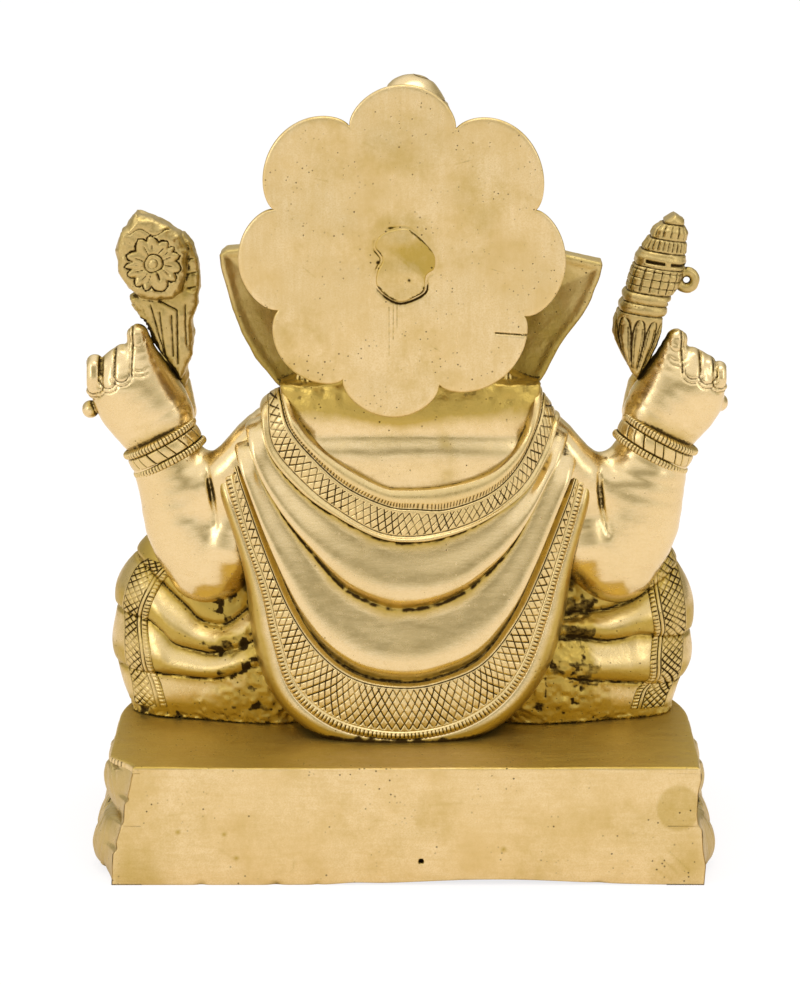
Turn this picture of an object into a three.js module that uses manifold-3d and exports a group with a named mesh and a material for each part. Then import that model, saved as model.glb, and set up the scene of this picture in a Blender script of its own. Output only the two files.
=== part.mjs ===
// Seated four-armed, elephant-headed deity: a brass statuette brazed together from small castings.
// Millimetres. +Z is up, the figure faces -Y and its own left hand is towards +X.
// The origin is under the middle of the pedestal, on the surface that it stands on.
import * as THREE from 'three';
import { mergeVertices } from 'three/addons/utils/BufferGeometryUtils.js';
import Module from 'manifold-3d';

const wasm = await Module();
wasm.setup();

// ---- driving dimensions -------------------------------------------------------------------
const GAP = 0.3; // braze gap left between neighbouring castings
const PEDESTAL = { halfWidth: 65, front: 44.4, back: 50, height: 29.6, wall: 3.5, top: 4 };
const PETALS = { count: 13, split: 14.6, lowerReach: 9, upperReach: 5.4, scallop: 2 };
const SEAT_Z = PEDESTAL.height + GAP; // lowest level of the figure
const BACK = { y: 29, bend: 0.0065 }; // the back is a shallow parabolic trough, y = y - bend x^2
const HALO = { z: 152, halfWidth: 38.4, halfHeight: 39.7, cusp: 0.83, back: 34, thick: 3 };
const PEG = { x: 0.5, z: 149.5, halfWidth: 7.6, halfHeight: 9.6, length: 12 };
const BAND_DEPTH = 2; // how deep the chased bands are let into the cloth

// ---- finishes ------------------------------------------------------------------------------
const finish = (color, roughness) => new THREE.MeshStandardMaterial({ color, roughness, metalness: 1 });
const POLISHED = finish(0xe1c084, 0.28);
const CHASED = finish(0xc9a564, 0.36);
const AGED = finish(0xa5813c, 0.42);

// ---- making solids -------------------------------------------------------------------------
// A closed geometry as a solid that can be cut and joined.
function solid(geometry) {
  const bare = geometry.clone();
  bare.deleteAttribute('normal');
  bare.deleteAttribute('uv');
  const merged = mergeVertices(bare, 1e-4);
  return new wasm.Manifold(new wasm.Mesh({
    numProp: 3,
    vertProperties: merged.attributes.position.array,
    triVerts: new Uint32Array(merged.index.array),
  }));
}

const join = (...solids) => solids.reduce((whole, next) => whole.add(next));

// The biggest separate body, without the chips that a cut leaves beside it.
function mainBody(cut) {
  return cut.decompose().reduce((a, b) => (a.volume() > b.volume() ? a : b));
}

// An ellipsoid, which turns by `tilt` radians about Y.
function ellipsoid([x, y, z], [rx, ry, rz], grow = 0, { tilt = 0, wide = 12, high = 8 } = {}) {
  const ball = new THREE.SphereGeometry(1, wide, high).rotateX(Math.PI / 2);
  ball.scale(rx + grow, ry + grow, rz + grow).rotateY(tilt).translate(x, y, z);
  return solid(ball);
}

// A limb along a smooth curve: stations are [x, y, z, radius], flat is depth over width.
function limb(stations, grow = 0, { flat = 1, sides = 8, steps = 9 } = {}) {
  const curve = new THREE.CatmullRomCurve3(stations.map(([x, y, z]) => new THREE.Vector3(x, y, z)));
  const radii = stations.map((s) => s[3]);
  const frames = curve.computeFrenetFrames(steps);
  const tube = new THREE.CylinderGeometry(1, 1, 1, sides, steps);
  const at = tube.attributes.position;
  const last = stations.length - 1;
  for (let i = 0; i < at.count; i++) {
    const step = Math.round((at.getY(i) + 0.5) * steps);
    const t = step / steps;
    const low = Math.min(Math.floor(t * last), last - 1);
    const end = step === 0 || step === steps;
    const radius = THREE.MathUtils.lerp(radii[low], radii[low + 1], t * last - low) + grow;
    const ring = end ? 0.55 * radius : radius;
    const centre = curve.getPoint(t);
    if (end) centre.addScaledVector(frames.tangents[step], (t - 0.5) * (0.7 * radius + grow));
    centre.addScaledVector(frames.normals[step], at.getX(i) * ring);
    centre.addScaledVector(frames.binormals[step], at.getZ(i) * ring);
    const middle = curve.getPoint(t).y;
    at.setXYZ(i, centre.x, middle + (centre.y - middle) * flat, centre.z);
  }
  const made = solid(tube);
  return made.volume() > 0 ? made : solid(insideOut(tube));
}

// The same geometry with each face turned round.
function insideOut(geometry) {
  const order = geometry.index.array;
  for (let i = 0; i < order.length; i += 3) [order[i + 1], order[i + 2]] = [order[i + 2], order[i + 1]];
  return geometry;
}

// A plate whose outline is drawn in XZ, from yLow to yHigh.
function plate(outline, yLow, yHigh, bevel = 0) {
  const shape = new THREE.Shape(outline.map(([x, z]) => new THREE.Vector2(x, z)));
  const geometry = new THREE.ExtrudeGeometry(shape, {
    depth: yHigh - yLow - 2 * bevel,
    bevelEnabled: bevel > 0,
    bevelThickness: bevel,
    bevelSize: bevel,
    bevelOffset: -bevel,
    bevelSegments: 1,
  });
  return solid(geometry.rotateX(Math.PI / 2).translate(0, yHigh - bevel, 0));
}

// A slab whose outline is drawn in XY, from zLow to zHigh.
function slab(points, zLow, zHigh, bevel = 0) {
  const geometry = new THREE.ExtrudeGeometry(new THREE.Shape(points), {
    depth: zHigh - zLow - 2 * bevel,
    bevelEnabled: bevel > 0,
    bevelThickness: bevel,
    bevelSize: bevel,
    bevelOffset: -bevel,
    bevelSegments: 1,
  });
  return solid(geometry.translate(0, 0, zLow + bevel));
}

const box = (x0, x1, y0, y1, z0, z1) => solid(
  new THREE.BoxGeometry(x1 - x0, y1 - y0, z1 - z0).translate((x0 + x1) / 2, (y0 + y1) / 2, (z0 + z1) / 2),
);

// A solid turned on a lathe about a line through `foot` along `axis`; profile rows are [radius, height].
function turned(profile, foot, axis, grow = 0, { sides = 16, flat = 1 } = {}) {
  const top = profile.length - 1;
  const grown = profile.map(([r, h], i) => new THREE.Vector2(
    r > 0 ? r + grow : 0,
    h + (i <= 1 ? -grow : i >= top - 1 ? grow : 0),
  ));
  const lathe = new THREE.LatheGeometry(grown, sides).scale(1, 1, flat);
  const up = new THREE.Vector3(...axis).normalize();
  lathe.applyQuaternion(new THREE.Quaternion().setFromUnitVectors(new THREE.Vector3(0, 1, 0), up));
  return solid(lathe.translate(...foot));
}

// ---- pedestal --------------------------------------------------------------------------------
// Half of the plan's curve, from the flat back round the front and back again, pushed out by `reach`
// and by one round scallop for each petal.
function planCurve(reach, scallop = 0, count = 0, steps = 24) {
  const wide = PEDESTAL.halfWidth + reach;
  const deep = PEDESTAL.front + reach * 0.62;
  const path = new THREE.Path();
  path.moveTo(wide - 2, PEDESTAL.back);
  path.lineTo(wide, 4);
  path.absellipse(0, 0, wide, deep, 0, -Math.PI, true);
  path.lineTo(-wide + 2, PEDESTAL.back);
  const points = path.getSpacedPoints(steps);
  return points.map((p, i) => {
    const next = points[Math.min(i + 1, steps)];
    const past = points[Math.max(i - 1, 0)];
    const along = next.clone().sub(past).normalize();
    const push = scallop * Math.sqrt(Math.abs(Math.sin((Math.PI * count * i) / steps))) - scallop;
    const y = i === 0 || i === steps ? PEDESTAL.back : p.y + along.x * push;
    return new THREE.Vector2(p.x - along.y * push, Math.min(y, PEDESTAL.back));
  });
}

const pedestalCore = (grow) => slab(planCurve(grow), 0, PEDESTAL.height);

function pedestal() {
  const { wall, top, height, back } = PEDESTAL;
  const hollow = slab(planCurve(-wall), -1, height - top);
  return pedestalCore(0).subtract(hollow.intersect(box(-99, 99, -99, back - wall, -2, height)));
}

function petalRow(reach, zLow, zHigh) {
  const outline = planCurve(reach, PETALS.scallop, PETALS.count, PETALS.count * 4);
  const row = slab(outline, zLow, zHigh, 1.6);
  const behind = box(-99, 99, PEDESTAL.back - 2, PEDESTAL.back + 9, -1, 40);
  const ends = slab(outline, zLow, zHigh).intersect(behind);
  const hiddenBack = slab(planCurve(GAP), -1, PEDESTAL.height + 1);
  const rear = box(-62, 62, 0, PEDESTAL.back + 5, -1, 40);
  return join(row, ends).subtract(hiddenBack).subtract(rear);
}

// ---- body and cloth --------------------------------------------------------------------------
function torso(grow) {
  return join(
    ellipsoid([0, -8, 62], [33, 29, 31], grow, { wide: 16, high: 10 }),
    ellipsoid([0, 5, 92], [37, 19, 23], grow),
    ellipsoid([0, 8, 48], [29, 17, 26], grow),
    ellipsoid([0, 4, 112], [20, 15, 10], grow),
    limb([[-41, 3, 97, 9], [0, 4, 99, 10], [41, 3, 97, 9]], grow, { steps: 4 }),
  );
}

// Everything in front of the trough-shaped back, moved outwards by `grow`.
function backBlock(grow) {
  const half = 60;
  const steps = 10;
  const rim = Array.from({ length: steps + 1 }, (_, i) => {
    const x = half - (2 * half * i) / steps;
    return new THREE.Vector2(x, BACK.y + grow - BACK.bend * x * x);
  });
  return slab([new THREE.Vector2(-half, -12), new THREE.Vector2(half, -12), ...rim], 20, 130);
}

// Smooth U-shaped line through half of its points, mirrored; points run from the shoulder to the middle.
function uLine(half, steps = 16) {
  const all = [...half, ...half.slice(0, -1).reverse().map(([x, z]) => [-x, z])];
  const curve = new THREE.SplineCurve(all.map(([x, z]) => new THREE.Vector2(x, z)));
  return curve.getPoints(steps).map((p) => [p.x, p.y]);
}

const COLLAR_IN = [[30.5, 115.5], [27.5, 106.8], [23.2, 101], [14, 95.2], [0, 92.8]];
const COLLAR_OUT = [[36.5, 108.5], [33.2, 99.5], [26, 90.8], [14, 82.8], [0, 80.2]];
const HEM_IN = [[41.5, 97.5], [38.6, 89], [31.5, 71.5], [25.5, 59], [14, 46.8], [0, 43.8]];
const HEM_OUT = [[44.7, 93.8], [40.4, 80], [34.2, 62], [28.4, 42.5], [14, 32.6], [0, 30.9]];

const between = (inner, outer) => [...uLine(inner), ...uLine(outer).reverse()];

function bandIn(inner, outer) {
  return plate(between(inner, outer), -10, 45)
    .intersect(backBlock(0.4))
    .subtract(backBlock(-BAND_DEPTH))
    .subtract(box(-99, 99, -99, 99, 0, SEAT_Z));
}

function shawl(grow) {
  const wide = uLine([[45.2 + grow, 93.8], [40.8 + grow, 80], [34.6 + grow, 62], [29.4 + grow, 44],
    [27 + grow, 28], [0, 27]]);
  const cloth = plate([...wide, ...uLine(COLLAR_IN).reverse()], -4, 45);
  return cloth.intersect(backBlock(grow));
}

// A thigh and folded shin under pleated cloth; side is +1 for the figure's left.
function leg(side, grow) {
  return join(
    ellipsoid([side * 50, -10, 50], [23, 19, 21], grow, { tilt: side * 0.15 }),
    ellipsoid([side * 38, -4, 44], [24, 17, 17], grow),
    limb([[side * 60, -20, 42, 11], [side * 44, -34, 38, 10], [side * 22, -39, 37.5, 7.4]], grow,
      { steps: 5 }),
  );
}

function foot(side, grow) {
  const z = side > 0 ? 34.6 : 43;
  return limb([[side * 18, -40.5, z + 1, 4.6], [side * 8, -43, z, 4.6], [side * -5, -44.5, z - 0.4, 4.2],
    [side * -12, -44.5, z - 0.4, 3]], grow, { steps: 6 });
}

const pleat = (grow) => limb([[0, -36, 44, 6], [1, -42, 38, 6.5], [0, -44, 32, 5]], grow, { steps: 4 });

const belt = (grow) => limb([[-30, -16, 48, 3], [-20, -30, 46, 3], [0, -37, 45.5, 3.2], [20, -30, 46, 3],
  [30, -16, 48, 3]], grow, { steps: 12, sides: 8 });

// ---- arms --------------------------------------------------------------------------------------
const REAR_WRIST = {
  1: { at: [59.3, 2, 98.2], axis: [0.29, 0, 0.957], spread: 1.02 },
  '-1': { at: [-62.4, 2, 99.4], axis: [-0.4, 0, 0.916], spread: 0.84 },
};

function rearArm(side, grow) {
  const wrist = REAR_WRIST[side].at;
  return join(
    limb([[side * 36, 1, 99, 9], [side * 42, 2, 84, 10], [side * 47, 5, 71, 10.5]], grow, { steps: 5 }),
    limb([[side * 49, 5, 69.5, 11], [side * 54, 4.5, 76, 11.3], [side * 58, 3, 87, 10.2],
      [wrist[0], wrist[1], wrist[2] - 1, 8.6]], grow, { steps: 7, sides: 12 }),
  );
}

function rearWristlet(side, grow) {
  const { at, axis } = REAR_WRIST[side];
  const half = 2.7;
  const rim = half - 1;
  const profile = [[0, -half], [8.6, -half], [9.6, -rim], [9.1, 0], [9.6, rim], [8.6, half], [0, half]];
  return turned(profile, at, axis, grow, { flat: 0.92 });
}

// A closed fist on the wrist; fingers are short limbs across its top, and the first one points up.
function rearHand(side, grow) {
  const [wx, wy, wz] = REAR_WRIST[side].at;
  const x = (d) => wx + side * d * REAR_WRIST[side].spread;
  const fingers = [[17.2, 16.6, 3.1], [13.8, 19.4, 3], [10.2, 21.6, 3.1]];
  return join(
    limb([[x(0.8), wy, wz + 2.4, 8], [x(4.5), wy - 0.5, wz + 8, 9.8], [x(8), wy - 1, wz + 14, 10.6]], grow,
      { flat: 0.72, steps: 4, sides: 10 }),
    ...fingers.map(([dx, dz, r]) => limb([[x(dx), wy - 7, wz + dz - 4, r], [x(dx), wy, wz + dz, r],
      [x(dx - 1.5), wy + 4, wz + dz - 5, r]], grow, { steps: 3, sides: 6 })),
    limb([[x(2), wy + 1, wz + 14, 5.4], [x(3.6), wy + 1, wz + 22, 4.6], [x(5), wy + 1, wz + 28.5, 3.2]], grow,
      { steps: 3, sides: 8 }),
    limb([[x(15), wy - 4, wz + 10, 2.6], [side * 76.5, wy - 4, wz + 9, 2.9]], grow, { steps: 2, sides: 6 }),
  );
}

const FRONT_WRIST = {
  1: { at: [37, -33.5, 63.5], axis: [-0.35, -0.6, 0.4] },
  '-1': { at: [-36, -36, 69], axis: [0.3, -0.5, 0.8] },
};

function frontArm(side, grow) {
  const [wx, wy, wz] = FRONT_WRIST[side].at;
  return join(
    limb([[side * 36, -4, 97, 9], [side * 41, -11, 86, 9], [side * 45, -19, 74, 8.6]], grow, { steps: 5 }),
    limb([[side * 46, -20, 72.5, 8.6], [(side * 46 + wx) / 2 + side, (wy - 20) / 2, (72 + wz) / 2, 8],
      [wx, wy, wz, 6.2]], grow, { steps: 4 }),
  );
}

function frontWristlet(side, grow) {
  const { at, axis } = FRONT_WRIST[side];
  const profile = [[0, -2.2], [6.8, -2.2], [7.8, -1.2], [7.8, 1.2], [6.8, 2.2], [0, 2.2]];
  return turned(profile, at, axis, grow, { sides: 14 });
}

// The right hand is raised with its palm forward, and the left one lies open under a bowl.
function raisedHand(grow) {
  const [wx, wy, wz] = FRONT_WRIST[-1].at;
  const fingers = [-5.8, -2, 1.9, 5.4];
  return join(
    limb([[wx, wy - 1, wz + 1.5, 5.8], [wx, wy - 2.5, wz + 7, 7.4], [wx, wy - 3, wz + 11, 7]], grow,
      { flat: 0.5, steps: 3, sides: 8 }),
    ...fingers.map((dx, i) => limb([[wx + dx * 0.9, wy - 3, wz + 10, 2.1],
      [wx + dx, wy - 3, wz + (i === 0 || i === 3 ? 17.6 : 20), 1.7]], grow, { steps: 2, sides: 6 })),
    limb([[wx + 4.5, wy - 3, wz + 4.5, 2.5], [wx + 8.4, wy - 4, wz + 10, 2]], grow, { steps: 2, sides: 6 }),
  );
}

const bowlHand = (grow) => limb([[35.5, -36, 64.8, 5.8], [32.5, -39.5, 66, 6.6], [27.5, -42, 67, 6]], grow,
  { steps: 4, sides: 12 });

const sweetBowl = (grow) => turned([[0, 0], [4.4, 0], [6.6, 2.4], [6.6, 4], [4.4, 7], [1.6, 9.4], [0, 9.4]],
  [28.5, -41.5, 69.6], [0, 0, 1], grow, { sides: 14 });

// ---- what the raised hands hold ------------------------------------------------------------------
function lotus(grow) {
  return join(
    ellipsoid([61.4, 1, 146], [10, 7, 11.4], grow, { tilt: 0.3 }),
    limb([[60, 1, 138, 9], [56.5, 0, 128, 6.6], [54.5, -1, 117, 3]], grow, { flat: 0.8, steps: 5 }),
  );
}

function mace(grow) {
  return limb([[-54.6, -1, 113, 3.4], [-57, 0, 124, 5.8], [-60.6, 0, 134, 7.7], [-63, 0, 143, 7.2],
    [-65.2, 0, 151, 5], [-66.3, 0, 155, 2.4]], grow, { steps: 10, sides: 12 });
}

// ---- head ------------------------------------------------------------------------------------------
function head(grow) {
  return join(
    ellipsoid([0, 2, 140], [24, 24, 25], grow, { wide: 16, high: 10 }),
    ellipsoid([0, -13, 131], [17, 15, 17], grow),
    ellipsoid([0, 3, 124], [20, 17, 10], grow),
  );
}

const trunk = (grow) => limb([[0, -24, 131, 11], [0, -34, 119, 9.4], [0, -39.5, 105, 7.8],
  [2, -41.5, 92, 6.8], [9, -42, 82.5, 5.9], [18, -42.4, 82, 5], [22.5, -42.8, 87.5, 4.2]], grow,
{ steps: 12, sides: 10 });

const tusk = (side, grow) => limb([[side * 11, -22, 123, 3.4], [side * 14, -32, 116, 3],
  [side * 15.5, -40, 114, 1.8], ...(side > 0 ? [[side * 16, -45, 115, 1]] : [])], grow, { steps: 5 });

function ear(side, grow) {
  const g = grow * 1.2;
  const outline = [[14, 158], [24, 159], [34, 154], [45 + g, 148.5 + g], [46.4 + g, 143], [44.4 + g, 135],
    [41 + g, 127], [36.5 + g, 119], [30 + g, 112.5 - g], [22, 113 - g], [14, 124]];
  const mirrored = outline.map(([x, z]) => [-x, z]).reverse();
  return plate(side > 0 ? outline : mirrored, 4 - grow, 11 + grow, 1.2);
}

const crownBand = (grow) => turned([[0, 0], [21.5, 0], [23, 1.2], [23, 4.4], [21.5, 5.6], [0, 5.6]],
  [0, -2, 155.6], [0, 0, 1], grow, { sides: 20 });

const crown = (grow) => turned([[0, 0], [20, 0], [20.4, 3], [17.6, 9], [13.6, 15], [10, 19], [9, 20.4],
  [0, 20.4]], [-0.4, -2.4, 161.5], [-0.06, -0.03, 1], grow, { sides: 18 });

const finial = (grow) => turned([[0, 0], [9.8, 0], [10.4, 1.6], [8.6, 4.6], [5, 7.2], [0, 8.2]],
  [-1.7, -3, 182.3], [-0.06, -0.03, 1], grow, { sides: 14 });

const nape = (grow) => limb([[-21, 17, 116, 3.4], [-8, 22, 114.5, 3.6], [8, 22, 114.5, 3.6],
  [21, 17, 116, 3.4]], grow, { steps: 6, sides: 8 });

// ---- halo --------------------------------------------------------------------------------------------
// Eight round lobes: each is an arc of circle between two cusps.
function haloOutline(grow) {
  const lobes = 8;
  const arcSteps = 5;
  const rows = [];
  for (let lobe = 0; lobe < lobes; lobe++) {
    for (let i = 0; i < arcSteps; i++) {
      const share = i / arcSteps - 0.5;
      const angle = ((lobe + share) * 2 * Math.PI) / lobes;
      const bulge = HALO.cusp + (1 - HALO.cusp) * Math.pow(Math.cos(share * Math.PI), 0.62);
      const radius = i === 0 ? HALO.cusp : bulge;
      rows.push([Math.sin(angle) * (HALO.halfWidth + grow) * radius,
        HALO.z + Math.cos(angle) * (HALO.halfHeight + grow) * radius]);
    }
  }
  return rows.reverse();
}

const haloPeg = (grow) => solid(new THREE.CylinderGeometry(1, 1, PEG.length + 2 * grow, 16)
  .scale(PEG.halfWidth + grow, 1, PEG.halfHeight + grow)
  .translate(PEG.x, HALO.back - PEG.length / 2, PEG.z));

function halo(grow) {
  const disc = plate(haloOutline(grow), HALO.back - HALO.thick - grow, HALO.back + grow, grow ? 0 : 0.7);
  return disc.subtract(haloPeg(GAP - grow));
}

// ---- jewellery on the front -----------------------------------------------------------------------------
const necklace = (grow) => limb([[-20, -11, 108, 2.4], [-15, -19, 98, 2.6], [-7, -23, 90, 2.8],
  [7, -23, 90, 2.8], [15, -19, 98, 2.6], [20, -11, 108, 2.4]], grow, { steps: 10, sides: 6 });

const thread = (grow) => limb([[26, -17, 92, 1.8], [22, -29, 76, 1.8], [8, -36.4, 66, 1.8],
  [-10, -36.2, 60, 1.8], [-25, -28, 54, 1.8]], grow, { steps: 10, sides: 6 });

const armlet = (side, grow) => turned([[0, -2], [10, -2], [10.8, -1.2], [10.8, 1.2], [10, 2], [0, 2]],
  [side * 40.4, -10, 87.6], [side * -0.36, 0.46, 0.81], grow, { sides: 14 });

const anklet = (side, grow) => turned([[0, -1.8], [6.4, -1.8], [7.2, -1], [7.2, 1], [6.4, 1.8], [0, 1.8]],
  [side * 20, -40, side > 0 ? 36.6 : 41], [side * -0.95, -0.25, 0], grow, { sides: 12 });

// ---- assembly --------------------------------------------------------------------------------------------
// Each row is a casting. A casting is cut clear of every one above it in this list.
const LEFT = 1;
const RIGHT = -1;
const castings = [
  ['halo_flower', POLISHED, halo],
  ['halo_peg', POLISHED, haloPeg],
  ['shawl_collar_band', CHASED, () => bandIn(COLLAR_IN, COLLAR_OUT)],
  ['shawl_hem_band', CHASED, () => bandIn(HEM_IN, HEM_OUT)],
  ['left_rear_wristlet', CHASED, (g) => rearWristlet(LEFT, g)],
  ['right_rear_wristlet', CHASED, (g) => rearWristlet(RIGHT, g)],
  ['left_front_wristlet', CHASED, (g) => frontWristlet(LEFT, g)],
  ['right_front_wristlet', CHASED, (g) => frontWristlet(RIGHT, g)],
  ['crown_band', CHASED, crownBand],
  ['crown_finial', CHASED, finial],
  ['crown', CHASED, crown],
  ['left_tusk', POLISHED, (g) => tusk(LEFT, g)],
  ['right_tusk', POLISHED, (g) => tusk(RIGHT, g)],
  ['sweet_bowl', CHASED, sweetBowl],
  ['trunk', POLISHED, trunk],
  ['head', POLISHED, head],
  ['left_ear', POLISHED, (g) => ear(LEFT, g)],
  ['right_ear', POLISHED, (g) => ear(RIGHT, g)],
  ['nape_band', CHASED, nape],
  ['torso', POLISHED, torso],
  ['necklace', CHASED, necklace],
  ['sacred_thread', CHASED, thread],
  ['waist_belt', CHASED, belt],
  ['shawl', POLISHED, shawl],
  ['left_anklet', CHASED, (g) => anklet(LEFT, g)],
  ['right_anklet', CHASED, (g) => anklet(RIGHT, g)],
  ['left_foot', POLISHED, (g) => foot(LEFT, g)],
  ['right_foot', POLISHED, (g) => foot(RIGHT, g)],
  ['front_pleat', AGED, pleat],
  ['left_leg', AGED, (g) => leg(LEFT, g)],
  ['right_leg', AGED, (g) => leg(RIGHT, g)],
  ['left_rear_arm', POLISHED, (g) => rearArm(LEFT, g)],
  ['right_rear_arm', POLISHED, (g) => rearArm(RIGHT, g)],
  ['left_front_arm', POLISHED, (g) => frontArm(LEFT, g)],
  ['right_front_arm', POLISHED, (g) => frontArm(RIGHT, g)],
  ['left_armlet', CHASED, (g) => armlet(LEFT, g)],
  ['right_armlet', CHASED, (g) => armlet(RIGHT, g)],
  ['left_rear_hand', POLISHED, (g) => rearHand(LEFT, g)],
  ['right_rear_hand', POLISHED, (g) => rearHand(RIGHT, g)],
  ['left_front_hand', POLISHED, bowlHand],
  ['right_front_hand', POLISHED, raisedHand],
  ['lotus', AGED, lotus],
  ['mace', AGED, mace],
];

const boxesMeet = (a, b) => [0, 1, 2].every((k) => a.min[k] < b.max[k] && b.min[k] < a.max[k]);

function cutApart(rows) {
  const underSeat = box(-99, 99, -99, 99, -10, SEAT_Z);
  return rows.map(([name, material, shape], i) => {
    let piece = shape(0).subtract(underSeat);
    for (const [, , neighbour] of rows.slice(0, i)) {
      const grown = neighbour(GAP);
      if (boxesMeet(piece.boundingBox(), grown.boundingBox())) piece = piece.subtract(grown);
    }
    return [name, material, mainBody(piece)];
  });
}

function meshOf(name, material, piece) {
  const { vertProperties, triVerts } = piece.getMesh();
  const geometry = new THREE.BufferGeometry();
  geometry.setAttribute('position', new THREE.BufferAttribute(vertProperties, 3));
  geometry.setIndex(new THREE.BufferAttribute(triVerts, 1));
  const mesh = new THREE.Mesh(geometry, material);
  mesh.name = name;
  return mesh;
}

const statue = new THREE.Group();
statue.add(meshOf('pedestal', POLISHED, pedestal()));
statue.add(meshOf('lower_petals', AGED, petalRow(PETALS.lowerReach, 0, PETALS.split)));
statue.add(meshOf('upper_petals', AGED, petalRow(PETALS.upperReach, PETALS.split + GAP, PEDESTAL.height)));
for (const [name, material, piece] of cutApart(castings)) statue.add(meshOf(name, material, piece));

export default statue;
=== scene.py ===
"""Brass statuette of a seated, four-armed, elephant-headed deity, seen from behind.

Every length below is in millimetres in the row frame (+Z up, the figure faces -Y, its left is +X).
Organic castings are signed-distance shapes turned into quad meshes; cloth and borders are lofted grids.
"""
import math

import bpy
import numpy as np
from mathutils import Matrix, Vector
from mathutils.bvhtree import BVHTree


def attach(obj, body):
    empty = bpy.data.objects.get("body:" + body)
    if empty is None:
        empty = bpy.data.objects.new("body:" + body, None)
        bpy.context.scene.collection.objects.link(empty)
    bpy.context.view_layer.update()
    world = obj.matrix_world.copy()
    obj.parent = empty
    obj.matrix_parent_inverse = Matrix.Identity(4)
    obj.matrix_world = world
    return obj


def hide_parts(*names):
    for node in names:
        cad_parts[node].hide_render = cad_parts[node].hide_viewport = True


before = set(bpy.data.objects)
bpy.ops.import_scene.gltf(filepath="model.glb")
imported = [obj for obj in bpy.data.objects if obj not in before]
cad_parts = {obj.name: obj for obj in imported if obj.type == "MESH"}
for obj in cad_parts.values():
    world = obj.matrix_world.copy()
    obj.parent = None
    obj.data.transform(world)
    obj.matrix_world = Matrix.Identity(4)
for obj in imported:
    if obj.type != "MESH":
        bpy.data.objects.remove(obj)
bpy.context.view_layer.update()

MM = 0.001
COARSE = 1.0  # how much coarser every mesh is while trying things
LEFT, RIGHT = 1, -1
SIDES = ((LEFT, "left"), (RIGHT, "right"))

# ---- shared sizes ----
BASE_TOP = 29.6
BASE_BACK = 50.0
WAIST_Z = 14.8  # groove between the two petal rows
HALO = {"x": 0.5, "z": 152.0, "rx": 38.4, "rz": 39.7, "back": 34.0, "thick": 3.0}


# ---- small maths ----
def smooth(lo, hi, v):
    t = np.clip((v - lo) / (hi - lo), 0, 1)
    return t * t * (3 - 2 * t)


def smin(a, b, k):
    h = np.clip(0.5 + 0.5 * (b - a) / k, 0, 1)
    return b + (a - b) * h - k * h * (1 - h)


def smax(a, b, k):
    return -smin(-a, -b, k)


def bell(v, width):
    return np.exp(-((v / width) ** 2))


def nearest(cell):
    """How far each value is from the nearest whole number, -0.5 to 0.5."""
    return cell - np.round(cell)


def grooves(v, pitch, width):
    """1 on lines that are a pitch apart, 0 between them."""
    return bell(nearest(v / pitch) * pitch, width)


CORNERS = [(i, j, k) for i in (0, 1) for j in (0, 1) for k in (0, 1)]  # of a grid cell


def between(values, base, share):
    """Grid values mixed inside each cell; base is its lowest corner, share runs 0 to 1 across it."""
    total = 0
    for corner in CORNERS:
        x, y, z = (share[:, axis] if corner[axis] else 1 - share[:, axis] for axis in range(3))
        node = (base + corner) % values.shape
        total = total + x * y * z * values[node[:, 0], node[:, 1], node[:, 2]]
    return total


class Lattice:
    """Smooth value noise, -1 to 1, the same on every run."""

    def __init__(self, seed, size=48):
        self.values = np.random.default_rng(seed).random((size, size, size), dtype=np.float32) * 2 - 1

    def at(self, verts, scale):
        q = verts / scale
        base = np.floor(q).astype(np.int64)
        share = (q - base).astype(np.float32)
        return between(self.values, base, share * share * (3 - 2 * share))


NOISE = Lattice(7)


# ---- signed distances ----
def ball(p, c, r):
    """Ellipsoid with its axes along X, Y, Z."""
    x, y, z = p[0] - c[0], p[1] - c[1], p[2] - c[2]
    k0 = np.sqrt((x / r[0]) ** 2 + (y / r[1]) ** 2 + (z / r[2]) ** 2)
    k1 = np.sqrt((x / r[0] ** 2) ** 2 + (y / r[1] ** 2) ** 2 + (z / r[2] ** 2) ** 2) + 1e-6
    return k0 * (k0 - 1) / k1


def pillow(p, c, r):
    """Ellipsoid that is squarer in XZ."""
    power = 2.8
    x, y, z = abs(p[0] - c[0]) / r[0], (p[1] - c[1]) / r[1], abs(p[2] - c[2]) / r[2]
    k = np.sqrt((x**power + z**power + 1e-9) ** (2 / power) + y * y)
    return (k - 1) * min(r)


def capsule(p, a, b):
    """Round bar from a to b; each end is x, y, z, radius."""
    d = [b[i] - a[i] for i in range(3)]
    length2 = max(sum(v * v for v in d), 1e-9)
    q = [p[i] - a[i] for i in range(3)]
    h = np.clip((q[0] * d[0] + q[1] * d[1] + q[2] * d[2]) / length2, 0, 1)
    gap = np.sqrt(sum((q[i] - d[i] * h) ** 2 for i in range(3)))
    return gap - (a[3] + (b[3] - a[3]) * h)


def spline(points, n):
    """Catmull-Rom curve through rows of numbers, n + 1 rows long."""
    pts = np.asarray(points, float)
    ends = np.vstack([2 * pts[0] - pts[1], pts, 2 * pts[-1] - pts[-2]])
    t = np.linspace(0, len(pts) - 1 - 1e-9, n + 1)
    i = t.astype(int)
    f = (t - i)[:, None]
    a, b, c, d = ends[i], ends[i + 1], ends[i + 2], ends[i + 3]
    return 0.5 * (2 * b + (c - a) * f + (2 * a - 5 * b + 4 * c - d) * f**2 + (3 * b - a - 3 * c + d) * f**3)


def limb(p, points, n=10):
    """Limb along a smooth curve; rows are x, y, z, radius."""
    path = spline(points, n)
    total = capsule(p, path[0], path[1])
    for a, b in zip(path[1:-1], path[2:]):
        total = np.minimum(total, capsule(p, a, b))
    return total


def squash_y(p, middle, factor):
    """The point as seen by a shape that is thinner along Y."""
    return p[0], middle + (p[1] - middle) / factor, p[2]


def flip_x(p, side):
    return p[0] * side, p[1], p[2]


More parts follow.
